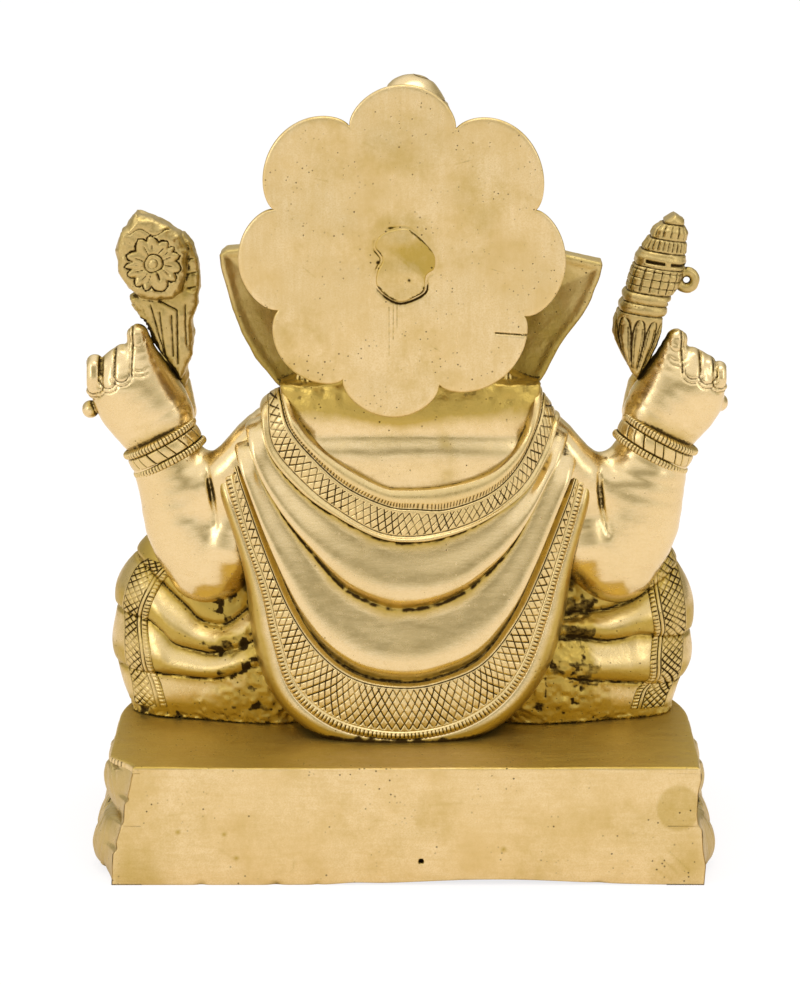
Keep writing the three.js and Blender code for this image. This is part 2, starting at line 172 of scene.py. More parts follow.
def square_to(axis):
    """The axis at unit length, and two unit vectors square to it and to each other."""
    axis = np.array(axis, float) / np.linalg.norm(axis)
    side = np.cross((0, 1, 0), axis)
    side /= np.linalg.norm(side)
    return axis, side, np.cross(axis, side)


def round_axis(p, foot, axis):
    """Height along a unit axis through foot, and distance from it."""
    q = [p[i] - foot[i] for i in range(3)]
    height = q[0] * axis[0] + q[1] * axis[1] + q[2] * axis[2]
    return height, np.sqrt(np.maximum(sum(v * v for v in q) - height * height, 0))


def polygon(px, pz, outline):
    """Signed distance in the XZ plane to a closed outline."""
    pts = np.asarray(outline, float)
    best = np.inf
    inside = False
    for (ax, az), (bx, bz) in zip(pts, np.roll(pts, -1, axis=0)):
        ex, ez = bx - ax, bz - az
        h = np.clip(((px - ax) * ex + (pz - az) * ez) / (ex * ex + ez * ez + 1e-9), 0, 1)
        best = np.minimum(best, (px - ax - ex * h) ** 2 + (pz - az - ez * h) ** 2)
        crosses = ((az <= pz) & (bz > pz)) | ((bz <= pz) & (az > pz))
        inside = inside ^ (crosses & (px < ax + (pz - az) / (bz - az + 1e-12) * ex))
    return np.sqrt(best) * np.where(inside, -1, 1)


# ---- meshes ----
def surface_net(field, lo, step):
    """Quads on the zero level of a field sampled on a grid; inside is negative."""
    inside = field < 0
    n = np.array(field.shape) - 1
    count = sum(inside[i:i + n[0], j:j + n[1], k:k + n[2]].astype(np.int8) for i, j, k in CORNERS)
    cells = np.argwhere((count > 0) & (count < 8))
    total = np.zeros((len(cells), 3), np.float32)
    hits = np.zeros((len(cells), 1), np.float32)
    for a in CORNERS:
        for axis in range(3):
            if a[axis]:
                continue
            b = list(a)
            b[axis] = 1
            fa = field[tuple((cells + a).T)]
            fb = field[tuple((cells + b).T)]
            cross = (fa < 0) != (fb < 0)
            t = np.where(cross, fa / np.where(cross, fa - fb, 1), 0)
            where = np.tile(np.array(a, np.float32), (len(cells), 1))
            where[:, axis] += t
            total += where * cross[:, None]
            hits[:, 0] += cross
    verts = np.asarray(lo) + step * (cells + total / hits)
    index = np.full(n, -1, np.int32)
    index[tuple(cells.T)] = np.arange(len(cells))
    quads = []
    for axis in range(3):
        u, v = (axis + 1) % 3, (axis + 2) % 3
        low = np.take(inside, np.arange(n[axis]), axis=axis)
        high = np.take(inside, np.arange(1, n[axis] + 1), axis=axis)
        edge = np.argwhere(low != high)
        edge = edge[(edge[:, u] >= 1) & (edge[:, v] >= 1) & (edge[:, u] < n[u]) & (edge[:, v] < n[v])]
        du, dv = np.zeros(3, int), np.zeros(3, int)
        du[u], dv[v] = 1, 1
        ring = [index[tuple((edge - off).T)] for off in (0 * du, du, du + dv, dv)]
        quad = np.stack(ring, 1)
        starts_inside = low[tuple(edge.T)]
        quad[~starts_inside] = quad[~starts_inside][:, ::-1]
        quads.append(quad)
    return verts, np.concatenate(quads)


def settle(verts, shape, rounds=3, eps=0.08):
    """Moves vertices onto the shape's surface and returns them with their normals."""
    for _ in range(rounds):
        p = tuple(verts.T)
        d = shape(p)
        slope = np.stack([
            shape((p[0] + eps, p[1], p[2])) - d,
            shape((p[0], p[1] + eps, p[2])) - d,
            shape((p[0], p[1], p[2] + eps)) - d,
        ], 1) / eps
        steep = np.maximum((slope**2).sum(1), 0.05)
        verts = verts - slope * np.clip(d / steep, -0.5, 0.5)[:, None]
    normals = slope / np.sqrt((slope**2).sum(1) + 1e-9)[:, None]
    return verts, normals


def solid(shape, lo, hi, step, detail=None):
    """Mesh of a signed-distance shape: verts, quads, grime (cut or dark lines) and stain_and_shade (tarnish,
    and painted shade in hollows), 0 to 1.

    detail(verts, normals) gives each vertex a height, a grime and, if it likes, a stain_and_shade.
    """
    step = step * COARSE
    axes = [np.arange(a - 2 * step, b + 2.01 * step, step, dtype=np.float32) for a, b in zip(lo, hi)]
    grid = axes[0][:, None, None], axes[1][None, :, None], axes[2][None, None, :]
    field = np.broadcast_to(shape(grid), [len(a) for a in axes]).astype(np.float32)
    verts, quads = surface_net(field, [a[0] for a in axes], step)
    verts, normals = settle(verts, shape)
    grime, stain_and_shade = np.zeros(len(verts)), np.zeros(len(verts))
    if detail is not None:
        height, grime, *more = detail(verts, normals)
        stain_and_shade = more[0] if more else stain_and_shade
        verts = verts + normals * height[:, None]
    return verts, quads, grime, stain_and_shade


def grid_quads(rows, cols, wrap=False):
    r = np.arange(rows - 1)[:, None]
    c = np.arange(cols if wrap else cols - 1)[None, :]
    nxt = (c + 1) % cols
    quad = np.stack([r * cols + c, r * cols + nxt, (r + 1) * cols + nxt, (r + 1) * cols + c], -1)
    return quad.reshape(-1, 4)


def face_out(verts, quads, grime, centre, stain_and_shade=None):
    """The same mesh with its faces turned away from the centre."""
    a, b, c, d = (verts[quads[:, i]] for i in range(4))
    normal = np.cross(c - a, d - b)
    middle = (a + b + c + d) / 4
    if (normal * (middle - np.array(centre))).sum() < 0:
        quads = quads[:, ::-1]
    return verts, quads, grime, np.zeros(len(verts)) if stain_and_shade is None else stain_and_shade


def skin(sheet, grime, centre, stain_and_shade=None, wrap=False):
    """Mesh of a grid of points, rows x cols x 3, faced away from the centre."""
    return face_out(sheet.reshape(-1, 3), grid_quads(*sheet.shape[:2], wrap), grime.ravel(), centre, stain_and_shade)


def with_lips(points, grime, first, last):
    """A grid with one more row at each end, which turns its edge into the casting."""
    return np.concatenate([first[None], points, last[None]]), np.concatenate([grime[:1], grime, grime[-1:]])


def merge(*parts):
    """Joins (verts, quads, grime, stain_and_shade) rows into one."""
    base = 0
    quads = []
    for part in parts:
        quads.append(part[1] + base)
        base += len(part[0])
    verts, grime, stain_and_shade = (np.concatenate([part[i] for part in parts]) for i in (0, 2, 3))
    return verts, np.concatenate(quads), grime, stain_and_shade


def grid_normals(points):
    """Unit normals of a grid of points, rows x cols x 3, facing the back (+Y) in its middle."""
    n = np.cross(np.gradient(points, axis=1), np.gradient(points, axis=0))
    n = n / (np.linalg.norm(n, axis=-1, keepdims=True) + 1e-9)
    return -n if n[len(n) // 2, n.shape[1] // 2, 1] < 0 else n


pieces = []  # rows that wait for their tarnish, painted shade and their object: name, mesh, slot, material
shapes = []  # (signed distance, lowest corner, highest corner) of everything that makes a crevice


def piece(name, made, slot, material):
    """Queues a mesh that stands for the CAD node of the same name."""
    pieces.append((name, made, slot, material))


def occluder(shape, lo, hi):
    shapes.append((shape, np.asarray(lo, float), np.asarray(hi, float)))


def body(name, shape, box, step, material, slot, detail=None):
    """A casting from its signed distance; box is the lowest and highest corner that hold it."""
    piece(name, solid(shape, *box, step, detail), slot, material)
    occluder(shape, *box)


class Crevices:
    """Coarse distance field of the whole statue, read to find where dirt and tarnish collect and where
    painted shade (ambient occlusion) darkens the colour.
    """

    LO, HI, STEP = np.array([-86.0, -56.0, -2.0]), np.array([86.0, 56.0, 198.0]), 1.0
    FAR = 9.0  # what the field says away from every shape
    MARGIN = 5  # how far round a shape its distance is written

    def __init__(self):
        self.shape = ((self.HI - self.LO) / self.STEP).astype(int) + 1
        self.field = np.full(self.shape, self.FAR, np.float32)
        for shape, lo, hi in shapes:
            i0 = np.maximum(((lo - self.MARGIN - self.LO) / self.STEP).astype(int), 0)
            i1 = np.minimum(((hi + self.MARGIN - self.LO) / self.STEP).astype(int) + 2, self.shape)
            x, y, z = (
                (self.LO[k] + self.STEP * np.arange(i0[k], i1[k])).astype(np.float32) for k in range(3)
            )
            part = shape((x[:, None, None], y[None, :, None], z[None, None, :]))
            window = self.field[i0[0]:i1[0], i0[1]:i1[1], i0[2]:i1[2]]
            np.minimum(window, np.broadcast_to(part, window.shape), out=window)

    def at(self, verts):
        q = (verts - self.LO) / self.STEP
        base = np.clip(q.astype(int), 0, self.shape - 2)
        return between(self.field, base, np.clip(q - base, 0, 1))

    def closed(self, verts, normals, steps):
        """0 in the open, towards 1 deep in a crevice; steps are reaches and weights."""
        dirt_and_shade = 0
        for reach, weight in steps:
            room = self.at(verts + normals * reach) / reach
            dirt_and_shade = dirt_and_shade + weight * np.clip(1 - room, 0, 1)
        return dirt_and_shade


# How far out, in mm, the room in front of a surface is felt, and how much each reach counts.
CREVICE_REACH = ((1.3, 0.5), (2.6, 0.35), (5.0, 0.15))  # narrow gaps, which hold black dirt and painted shade
HOLLOW_REACH = ((3.0, 0.35), (6.0, 0.35), (10.0, 0.3))  # wide hollows and spots close under other parts, which hold yellow tarnish and painted shade


def put(name, data):
    """A new object in the scene."""
    thing = bpy.data.objects.new(name, data)
    bpy.context.scene.collection.objects.link(thing)
    return thing


def finish_pieces():
    """Makes each queued mesh an object, with its tarnish, dirt and painted shade, on its body."""
    crevices = Crevices()
    for name, (verts, quads, grime, stain_and_shade), slot, material in pieces:
        mesh = bpy.data.meshes.new(name)
        mesh.vertices.add(len(verts))
        mesh.vertices.foreach_set("co", (verts * MM).astype(np.float32).ravel())
        mesh.loops.add(quads.size)
        mesh.loops.foreach_set("vertex_index", quads.astype(np.int32).ravel())
        mesh.polygons.add(len(quads))
        mesh.polygons.foreach_set("loop_start", np.arange(0, quads.size, 4, dtype=np.int32))
        mesh.update(calc_edges=True)
        mesh.polygons.foreach_set("use_smooth", np.ones(len(quads), bool))
        normals = np.zeros(len(mesh.vertices) * 3, np.float32)
        mesh.vertex_normals.foreach_get("vector", normals)
        normals = normals.reshape(-1, 3)
        dirt_and_shade = crevices.closed(verts, normals, CREVICE_REACH)
        # painted shade: wide hollows and spots close under other parts get the tarnish tint
        stain_and_shade = stain_and_shade + crevices.closed(verts, normals, HOLLOW_REACH)
        for label, values in (("grime", grime), ("dirt_and_shade", dirt_and_shade), ("stain_and_shade", stain_and_shade)):
            layer = mesh.attributes.new(label, "FLOAT", "POINT")
            layer.data.foreach_set("value", values.astype(np.float32))
        mesh.materials.append(material)
        thing = put(name, mesh)
        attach(thing, "root")
        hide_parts(name)


# ---- brass ----
class Nodes:
    """Short names for building the node tree of a material or a world."""

    def __init__(self, owner):
        owner.use_nodes = True
        self.tree = owner.node_tree
        self.tree.nodes.clear()

    def add(self, kind, inputs=None, **settings):
        node = self.tree.nodes.new(kind)
        for key, value in settings.items():
            setattr(node, key, value)
        for key, value in (inputs or {}).items():
            if isinstance(value, bpy.types.NodeSocket):
                self.tree.links.new(value, node.inputs[key])
            else:
                node.inputs[key].default_value = value
        return node

    def ramp(self, value, low, high, to_low=0.0, to_high=1.0):
        node = self.add("ShaderNodeMapRange", {
            "Value": value, "From Min": low, "From Max": high, "To Min": to_low, "To Max": to_high,
        })
        node.clamp = True
        return node.outputs["Result"]

    def math(self, operation, a, b=0.0):
        return self.add("ShaderNodeMath", {0: a, 1: b}, operation=operation).outputs[0]

    def times(self, a, b):
        return self.math("MULTIPLY", a, b)

    def plus(self, a, b):
        return self.math("ADD", a, b)

    def minus(self, a, b):
        return self.math("SUBTRACT", a, b)

    def attribute(self, name):
        return self.add("ShaderNodeAttribute", attribute_name=name).outputs["Fac"]

    def noise(self, where, scale, detail, rough=0.55):
        node = self.add("ShaderNodeTexNoise", {
            "Vector": where, "Scale": scale, "Detail": detail, "Roughness": rough,
        })
        return node.outputs["Fac"]

    def mix(self, factor, a, b):
        return self.add("ShaderNodeMix", {0: factor, 6: a, 7: b}, data_type="RGBA").outputs[2]


def pit_mask(n, place, stain_and_shade, pits):
    """1 in small round casting pits, which come in clusters."""
    cells = n.add("ShaderNodeTexVoronoi", {"Vector": place, "Scale": 820.0, "Randomness": 1.0})
    lots = n.add("ShaderNodeSeparateColor", {"Color": cells.outputs["Color"]})
    sized = n.math("DIVIDE", cells.outputs["Distance"], n.plus(lots.outputs[1], 0.3))
    pit = n.ramp(sized, 0.2, 0.10)
    pitted = n.plus(n.noise(place, 85, 4.0, 0.7), n.times(stain_and_shade, 0.12))
    cluster = n.ramp(pitted, 0.64 - 0.2 * pits, 0.74 - 0.2 * pits)
    chosen = n.ramp(lots.outputs[0], 0.35, 0.4)
    return n.times(n.times(pit, cluster), chosen)


def brass(name, clean, tarnish, gloss, pits=0.5, brush=(1, 1, 1), scratch=0.12, crust=1.0, mottle=0.5,
          patchy=0.3, dull=0.0):
    """Cast brass: buffed metal, tarnish that grows in the hollows, pits, and fine file marks along one way.

    gloss is the roughness of the clean metal; brush stretches the file marks, whose depth is scratch; crust
    is how readily dirt and painted shade fill crevices; mottle and patchy are how uneven tarnish and metal
    are; dull is the least tarnish anywhere.
    """
    material = bpy.data.materials.new(name)
    n = Nodes(material)
    place = n.add("ShaderNodeTexCoord").outputs["Object"]
    grime, dirt_and_shade, stain_and_shade = n.attribute("grime"), n.attribute("dirt_and_shade"), n.attribute("stain_and_shade")
    stretched = n.add("ShaderNodeMapping", {"Vector": place, "Scale": brush}).outputs[0]
    cloud = n.noise(place, 55, 4.0)
    haze = n.noise(place, 190, 6.0, 0.72)
    speck = n.noise(place, 900, 3.0, 0.6)
    grain = n.noise(place, 2600, 2.0, 0.6)
    marks = n.noise(stretched, 900, 3.0, 0.6)
    pit = pit_mask(n, place, stain_and_shade, pits)
    # deep and crevice: black dirt and painted shade in narrow gaps, from the dirt_and_shade attribute and
    # speckle
    deep = n.plus(n.times(dirt_and_shade, crust), n.times(n.minus(speck, 0.5), 0.9))
    crevice = n.times(n.ramp(deep, 0.62, 0.8), 0.9)
    # tarnish_and_shade: tarnish, plus painted shade in hollows, under folds and under the halo
    tarnish_and_shade = n.plus(stain_and_shade, n.times(n.minus(haze, 0.5), mottle))
    tarnish_and_shade = n.ramp(n.plus(tarnish_and_shade, n.times(grime, 0.35)), 0.12, 0.72, dull, 1.0)
    dark = n.math("MAXIMUM", crevice, n.ramp(n.plus(grime, n.times(speck, 0.6)), 0.65, 1.05))
    dark = n.math("MAXIMUM", dark, n.times(pit, 0.75))
    warm = [c * f for c, f in zip(clean, (0.86, 0.80, 0.62))] + [1]
    blotch = n.plus(n.times(cloud, 0.6), n.times(haze, 0.4))
    color = n.mix(n.ramp(blotch, 0.42, 0.62, 0.0, patchy), clean, warm)
    color = n.mix(n.ramp(grain, 0.38, 0.66, 0.0, 0.3 + 0.6 * scratch), color, warm)
    color = n.mix(n.ramp(marks, 0.42, 0.66, 0.0, scratch * 0.6), color, warm)
    color = n.mix(n.times(tarnish_and_shade, 0.85), color, tarnish)
    color = n.mix(dark, color, DIRT_AND_SHADE)
    rough = n.plus(n.ramp(marks, 0.3, 0.7, gloss - 0.05, gloss + 0.07), n.times(tarnish_and_shade, 0.12))
    rough = n.plus(rough, n.ramp(haze, 0.4, 0.65, -0.03, 0.05))
    rough = n.plus(rough, n.times(dark, 0.35))
    height = n.times(marks, scratch)
    height = n.plus(height, n.times(n.times(speck, tarnish_and_shade), 0.9 * crust))
    height = n.plus(height, n.times(grain, 0.05))
    height = n.minus(height, n.times(pit, 1.2))
    bump = n.add("ShaderNodeBump", {"Strength": 0.5, "Distance": 0.00025, "Height": height})
    shader = n.add("ShaderNodeBsdfPrincipled", {
        "Base Color": color, "Metallic": 1.0, "Roughness": rough, "Normal": bump.outputs[0],
    })
    n.add("ShaderNodeOutputMaterial", {"Surface": shader.outputs[0]})
    return material


# near-black for dirt in cuts and pits, and for painted shade in narrow gaps
DIRT_AND_SHADE = (0.06, 0.036, 0.010, 1)
CLEAN = (0.88, 0.73, 0.43, 1)
GOLD = (0.50, 0.36, 0.055, 1)  # yellow tarnish, and the colour of painted shade in hollows and under folds
OLIVE = (0.38, 0.285, 0.05, 1)  # older, greener tarnish, and the colour of painted shade on the ears and in hollows
FILED_FACE = brass("filed_brass", CLEAN, GOLD, 0.34, pits=0.8, brush=(1, 1, 0.1), scratch=0.6, crust=0.7,
                   mottle=0.62, patchy=1.0)
FILED_BASE = brass("filed_base_brass", CLEAN, GOLD, 0.35, pits=0.55, brush=(0.1, 1, 1), scratch=0.55,
                   crust=0.7, mottle=0.4, patchy=0.8)
BUFFED = brass("buffed_brass", CLEAN, GOLD, 0.22, pits=0.45, brush=(0.3, 0.3, 1), scratch=0.2)
CHASED = brass("chased_brass", (0.85, 0.70, 0.38, 1), GOLD, 0.27, pits=0.6, scratch=0.25, crust=0.8, dull=0.1)
CLOTH = brass("leg_cloth_brass", (0.79, 0.64, 0.33, 1), GOLD, 0.27, pits=0.6, scratch=0.25, crust=0.75,
              mottle=0.7, dull=0.08)
AGED = brass("aged_brass", (0.74, 0.60, 0.31, 1), OLIVE, 0.28, pits=0.7, scratch=0.3, crust=1.1, mottle=0.9,
             dull=0.42)
EAR_BRASS = brass("matte_ear_brass", (0.74, 0.61, 0.30, 1), OLIVE, 0.36, pits=1.0, scratch=0.3, mottle=0.9,
                  dull=0.25)


# ---- pedestal ----
def side_plan(u):
    """Plan line of the pedestal's core: u runs from the left rear corner round the front to the right one."""
    half, depth, straight = 66.0, 45.5, 44.0
    run = np.asarray(u) * (2 * straight + math.pi * 0.5 * (half + depth))
    arc = math.pi * 0.5 * (half + depth)
    angle = np.clip((run - straight) / arc, 0, 1) * math.pi
    x = np.where(run < straight, half, np.where(run > straight + arc, -half, half * np.cos(angle)))
    y = np.where(run < straight, BASE_BACK - run, 0)
    y = np.where(run > straight + arc, run - straight - arc + BASE_BACK - straight, y)
    front = (run >= straight) & (run <= straight + arc)
    y = np.where(front, (BASE_BACK - straight) * (1 - np.sin(angle)) - depth * np.sin(angle), y)
    return x, y


def side_frame(count):
    """Points along the plan line, their outward normals, and the distance run along it."""
    u = np.linspace(0, 1, count)
    x, y = side_plan(u)
    dx, dy = np.gradient(x), np.gradient(y)
    length = np.hypot(dx, dy)
    nx, ny = -dy / length, dx / length
    run = np.concatenate([[0], np.cumsum(np.hypot(np.diff(x), np.diff(y)))])
    outward = np.sign(nx * x + ny * (y + 1e-3) + 1e-6)
    nx, ny = nx * outward, ny * outward
    nx[0], ny[0], nx[-1], ny[-1] = 1, 0, -1, 0
    return x, y, nx, ny, run


PETAL_PITCH = 17.4
NO_PETAL = -9.0


def petal_relief(run, rise):
    """Height and grime of lotus petals; run goes along the row, rise from root 0 to tip 1."""
    height = np.full(run.shape, NO_PETAL)
    grime = np.zeros(run.shape)
    for shift, lift, reach in ((0.5, 0.0, 0.93), (0.0, 1.5, 1.0)):  # the row behind, then the row in front
        across = nearest(run / PETAL_PITCH + shift) * 2  # -1 to 1 over a petal
        edge = 0.98 * np.sqrt(np.clip(1 - (np.clip(rise / reach, 0, 1)) ** 3.2, 0, 1))
        edge = np.where(rise < 0.55, np.maximum(edge, 0.0) * (0.86 + 0.14 * smooth(0, 0.4, rise)), edge)
        depth = edge - abs(across)
        body_h = lift + 2.1 * np.sqrt(np.clip(depth, 0, 1)) * (0.5 + 0.7 * smooth(0, 0.7, rise))
        rim = 0.5 * bell(depth - 0.12, 0.09)
        line = bell(depth - 0.25, 0.035) * 0.35
        vein = bell(across, 0.05) * 0.3 * (rise < 0.8)
        cut = bell(abs(across) - 0.34 * (1 - rise * 0.6), 0.03) * 0.2 * smooth(0.95, 0.6, rise)
        top = np.where(depth > 0, body_h + rim - line - vein - cut, NO_PETAL)
        dirt = np.clip(line * 1.7 + vein * 1.6 + cut * 2 + bell(depth, 0.05) * 0.9, 0, 1)
        grime = np.where(top > height, dirt, grime)
        height = np.maximum(height, top)
    hollow = height < -1
    grime = np.where(hollow, 0.75, grime)
    return np.where(hollow, -0.9, height), grime


def side_profile(z):
    """How far the petal rows stand out from the core at height z."""
    lower = 4.4 + 3.4 * np.sqrt(np.clip(np.sin(math.pi * np.clip(z / 15.4, 0, 1) ** 0.75), 0, 1))
    upper = 2.4 + 2.4 * np.sqrt(np.clip(np.sin(math.pi * np.clip((z - WAIST_Z) / 15.5, 0, 1)), 0, 1))
    return np.where(z < WAIST_Z, lower, upper)


# Side edges of the flat back: height, and how far out from the core's 66 mm half width.
EDGE = {
    LEFT: [(0, 4.7), (1.7, 4.7), (7.8, 4.3), (9, 3.3), (10.7, 3.5), (14.9, 2.2), (15.9, 1.6), (20.4, 1.3),
           (21.5, 0.3), (22.2, 0.6), (28.4, -0.7), (29.6, -0.7)],
    RIGHT: [(0, 6.6), (4.9, 6.9), (8.8, 6.2), (14, 5.8), (15.2, 4.9), (17.5, 4.6), (23, 4.7), (26.2, 5.4),
            (29.2, 5.2), (29.6, 5.0)],
}
RIM_Z = 28.1  # the top slab's milled edge stands above the petals
RIM_OUT = 5.6
EDGE_BEVEL = 0.8  # radius along the top's edge


def edge_out(z):
    return [np.interp(z, *np.array(EDGE[side]).T) for side in (LEFT, RIGHT)]


def at_ends(run, left, right, middle):
    """Values along the side that go from the left edge's to the middle ones and on to the right edge's."""
    near_left = smooth(11.0, 0.5, run)
    near_right = smooth(11.0, 0.5, run[-1] - run)
    return middle * (1 - near_left) * (1 - near_right) + left * near_left + right * near_right


def petal_row(z0, z1, upright):
    """One row of lotus petals as a curved sheet with a lip into the core at its top and bottom."""
    cols = int(1500 / COARSE)
    rows = int(60 / COARSE)
    x, y, nx, ny, run = side_frame(cols)
    v = np.linspace(0, 1, rows)
    z = z0 + (z1 - z0) * v
    rise = v if upright else 1 - v
    relief, grime = petal_relief(*np.meshgrid(run - run[-1] / 2, rise))
    fade = smooth(0, 0.08, v)[:, None] * smooth(1, 0.92, v)[:, None]
    calm = 1 - np.maximum(smooth(16.0, 5.0, run), smooth(16.0, 5.0, run[-1] - run))
    out = side_profile(z)[:, None] + (relief - 1.0) * (0.35 + 0.65 * fade) * calm
    if upright:
        tucked = RIM_OUT - 0.35 + 6 * smooth(0.97, 0.72, v)[:, None]
        out = smin(out, tucked, 0.5)
    left, right = edge_out(z[:, None])
    out = at_ends(run, left, right, np.maximum(out, 0.15))
    points = np.stack([x + nx * out, y + ny * out, np.broadcast_to(z[:, None], out.shape)], -1)
    shake = 0.16 * NOISE.at(points.reshape(-1, 3), 3.1).reshape(out.shape)
    points[..., 0] += nx * shake
    points[..., 1] += ny * shake
    first, last = (np.stack([x - nx * 2.5, y - ny * 2.5, row[:, 2]], -1) for row in (points[0], points[-1]))
    sheet, dirt = with_lips(points, grime * calm, first, last)
    sheet[..., 1] = np.minimum(sheet[..., 1], BASE_BACK)
    return skin(sheet, dirt, (0, 0, (z0 + z1) / 2))


# Marks on the flat back, x and z as seen there.
CASTING_HOLE = (-4.1, 5.9)
CHIPS = ((49, 1.2, 0.5), (31, 1.6, 0.6), (21, 0.9, 0.4), (-14, 1.5, 0.5), (-47, 2.2, 0.5))  # x, width, depth
BACK_SCRATCHES = ((57, 17.5, 51, 18.2, 0.3), (52, 10.2, 45, 9.4, 0.25), (45, 9.4, 41, 6.6, 0.25),
                  (27, 3.4, 26.4, 6.2, 0.4), (-6, 20, -14, 20.8, 0.25), (-62, 7, -66, 3, 0.4),
                  (-64, 8.5, -69, 3.6, 0.4), (-60, 4.6, -64.5, 1.4, 0.35), (12, 16.6, 4, 16.2, 0.2))
BACK_DOTS = ((54.5, 13.4), (43.4, 12.8), (40.5, 6.8), (-24, 9))
ROUND_STAIN = (-66.0, 19.4)


def pedestal_rings():
    """Closed rings of points with their grime, from the hollow's roof round the rim, wall and top."""
    side_n = int(1100 / COARSE)
    x, y, nx, ny, run = side_frame(side_n)
    back_x = np.unique(np.concatenate([
        np.linspace(-0.992, 0.992, int(340 / COARSE)), np.linspace(-0.085, -0.03, int(26 / COARSE)),
    ]))  # closer together round the casting hole
    mill = ticks(run, 1.15, 0.26) * smooth(3, 6, run) * smooth(3, 6, run[-1] - run)

    def ring(z, inset, lift=0.0):
        left, right = edge_out(z)
        milled = mill * (RIM_Z < z < BASE_TOP - 0.25)
        out = at_ends(run, left, right, np.full(side_n, RIM_OUT if z > RIM_Z else 0.2)) - 0.35 * milled
        sx, sy = x + nx * (out - inset), np.minimum(y + ny * (out - inset), BASE_BACK - inset)
        bx = np.interp(back_x, [-1, 1], [sx[-1], sx[0]])
        by = np.full(len(bx), BASE_BACK - inset)
        px, py = np.append(sx, bx), np.append(sy, by)
        bow = (bell(px + 22, 26) + 0.25 * bell(px - 12, 5)) * (py > 44)  # the rim isn't quite level
        return np.column_stack([px, py, z + lift * bow]), np.append(0.75 * milled, 0 * bx)

    rings = [ring(25.6, 30), ring(25.6, 12), ring(25.6, 4.2), ring(24.8, 3.5), ring(2, 3.5),
             ring(0, 3.3, 1.4)]
    walls = np.linspace(0, BASE_TOP - EDGE_BEVEL, int(96 / COARSE))
    walls = np.sort(np.append(walls, [RIM_Z - 0.02, RIM_Z + 0.02]))
    rings += [ring(z, 0, 1.4 * (1 - smooth(0, 5, z)) if z < 5 else 0) for z in walls]
    for a in np.radians(np.linspace(12, 90, 7)):
        rings.append(ring(BASE_TOP - EDGE_BEVEL * (1 - math.sin(a)), EDGE_BEVEL * (1 - math.cos(a))))
    for inset in (1.2, 1.8, 2.6, 4, 6, 8, 10, 12, 14, 17, 20, 24, 30):
        rings.append(ring(BASE_TOP, inset))
    return np.array([row[0] for row in rings]), np.array([row[1] for row in rings])


def pedestal():
    """Core casting: filed flat back, level top whose milled edge overhangs the petals, and a hollow below."""
    points, grime = pedestal_rings()
    rings, count = grime.shape
    px, py, pz = points[..., 0], points[..., 1], points[..., 2]

    def noise(shift, scale):
        return NOISE.at(points.reshape(-1, 3) + shift, scale).reshape(px.shape)

    top = smooth(BASE_TOP - 0.5, BASE_TOP - 0.02, pz)
    wobble = 0.16 * noise(0, 15.0)
    on_back = (py > BASE_BACK - 0.06) & (pz < BASE_TOP - 0.7)
    hole = np.hypot(px - CASTING_HOLE[0], pz - CASTING_HOLE[1])
    chips = sum(deep * bell(px - x, wide) * smooth(1.6, 0.2, pz) for x, wide, deep in CHIPS)
    soft = 0.10 * noise(31, 12.0)
    points[..., 1] -= np.where(on_back, 1.6 * smooth(0.75, 0.45, hole) + chips + 0.1 + soft, 0)
    points[..., 2] += np.where(top > 0.5, wobble, 0)
    marks = np.maximum(smooth(0.8, 0.5, hole), 0.8 * np.minimum(chips, 1))
    for x0, z0, x1, z1, deep in BACK_SCRATCHES:
        gap = capsule((px, 0 * px, pz), (x0, 0, z0, 0), (x1, 0, z1, 0))
        marks = np.maximum(marks, deep * bell(gap, 0.35))
    grime = np.maximum(grime, np.where(on_back, marks, 0))
    round_stain = np.hypot((px - ROUND_STAIN[0]) * 0.98, (pz - ROUND_STAIN[1]) * 0.9)
    round_stain = smooth(5.6, 4.6, round_stain) * 0.3
    dots = sum(bell(np.hypot(px - x, pz - z), 0.55) for x, z in BACK_DOTS)
    clouds = 0.12 * smooth(0.0, 0.8, noise(9, 12.0))
    corners = 0.26 * bell(px - 66, 9) * bell(pz - 2, 7) + 0.26 * bell(px + 68, 7) * bell(pz - 4, 6)
    stain_and_shade = np.where(on_back, np.maximum(round_stain, 0.6 * dots) + clouds + corners, 0)
    stain_and_shade = stain_and_shade + top * (0.7 - 0.34 * bell(px + 3, 20) + 0.1 * smooth(42, 30, py))
    caps = []  # fans that close the hollow's roof and the top
    for row, centre, step in ((0, rings * count, -1), (rings - 1, rings * count + 1, 1)):
        loop = row * count + np.arange(count)
        for i in range(0, count - 1, 2):
            caps.append([centre, *[loop[(i + k) % count] for k in range(3)][::step]])
    verts = np.concatenate([points.reshape(-1, 3), [points[0].mean(0), points[-1].mean(0)]])
    quads = np.concatenate([grid_quads(rings, count, wrap=True), np.array(caps)])
    return face_out(verts, quads, np.append(grime, [0, 0]), (0, 0, 27), np.append(stain_and_shade, [0, 0]))


def build_base():
    piece("pedestal", pedestal(), "polished_brass", FILED_BASE)
    piece("lower_petals", petal_row(0.0, WAIST_Z, False), "aged_brass", AGED)
    piece("upper_petals", petal_row(WAIST_Z + 0.15, RIM_Z, True), "aged_brass", AGED)

    def block(p):
        rear = np.maximum(abs(p[0]) - 65.5, 5.5 - p[1])
        front = (np.sqrt((p[0] / 65.5) ** 2 + ((p[1] - 6) / 51) ** 2) - 1) * 51
        plan = np.maximum(np.minimum(rear, front), p[1] - BASE_BACK)
        return np.maximum(plan, p[2] - BASE_TOP)

    occluder(block, (-72, -50, 0), (72, 50, 30))


# ---- the cloth over the back ----
def back_y(x, z):
    """Depth of the cloth's general surface at the back."""
    return 29 - 0.0065 * x**2 - 0.05 * np.maximum(z - 60, 0)


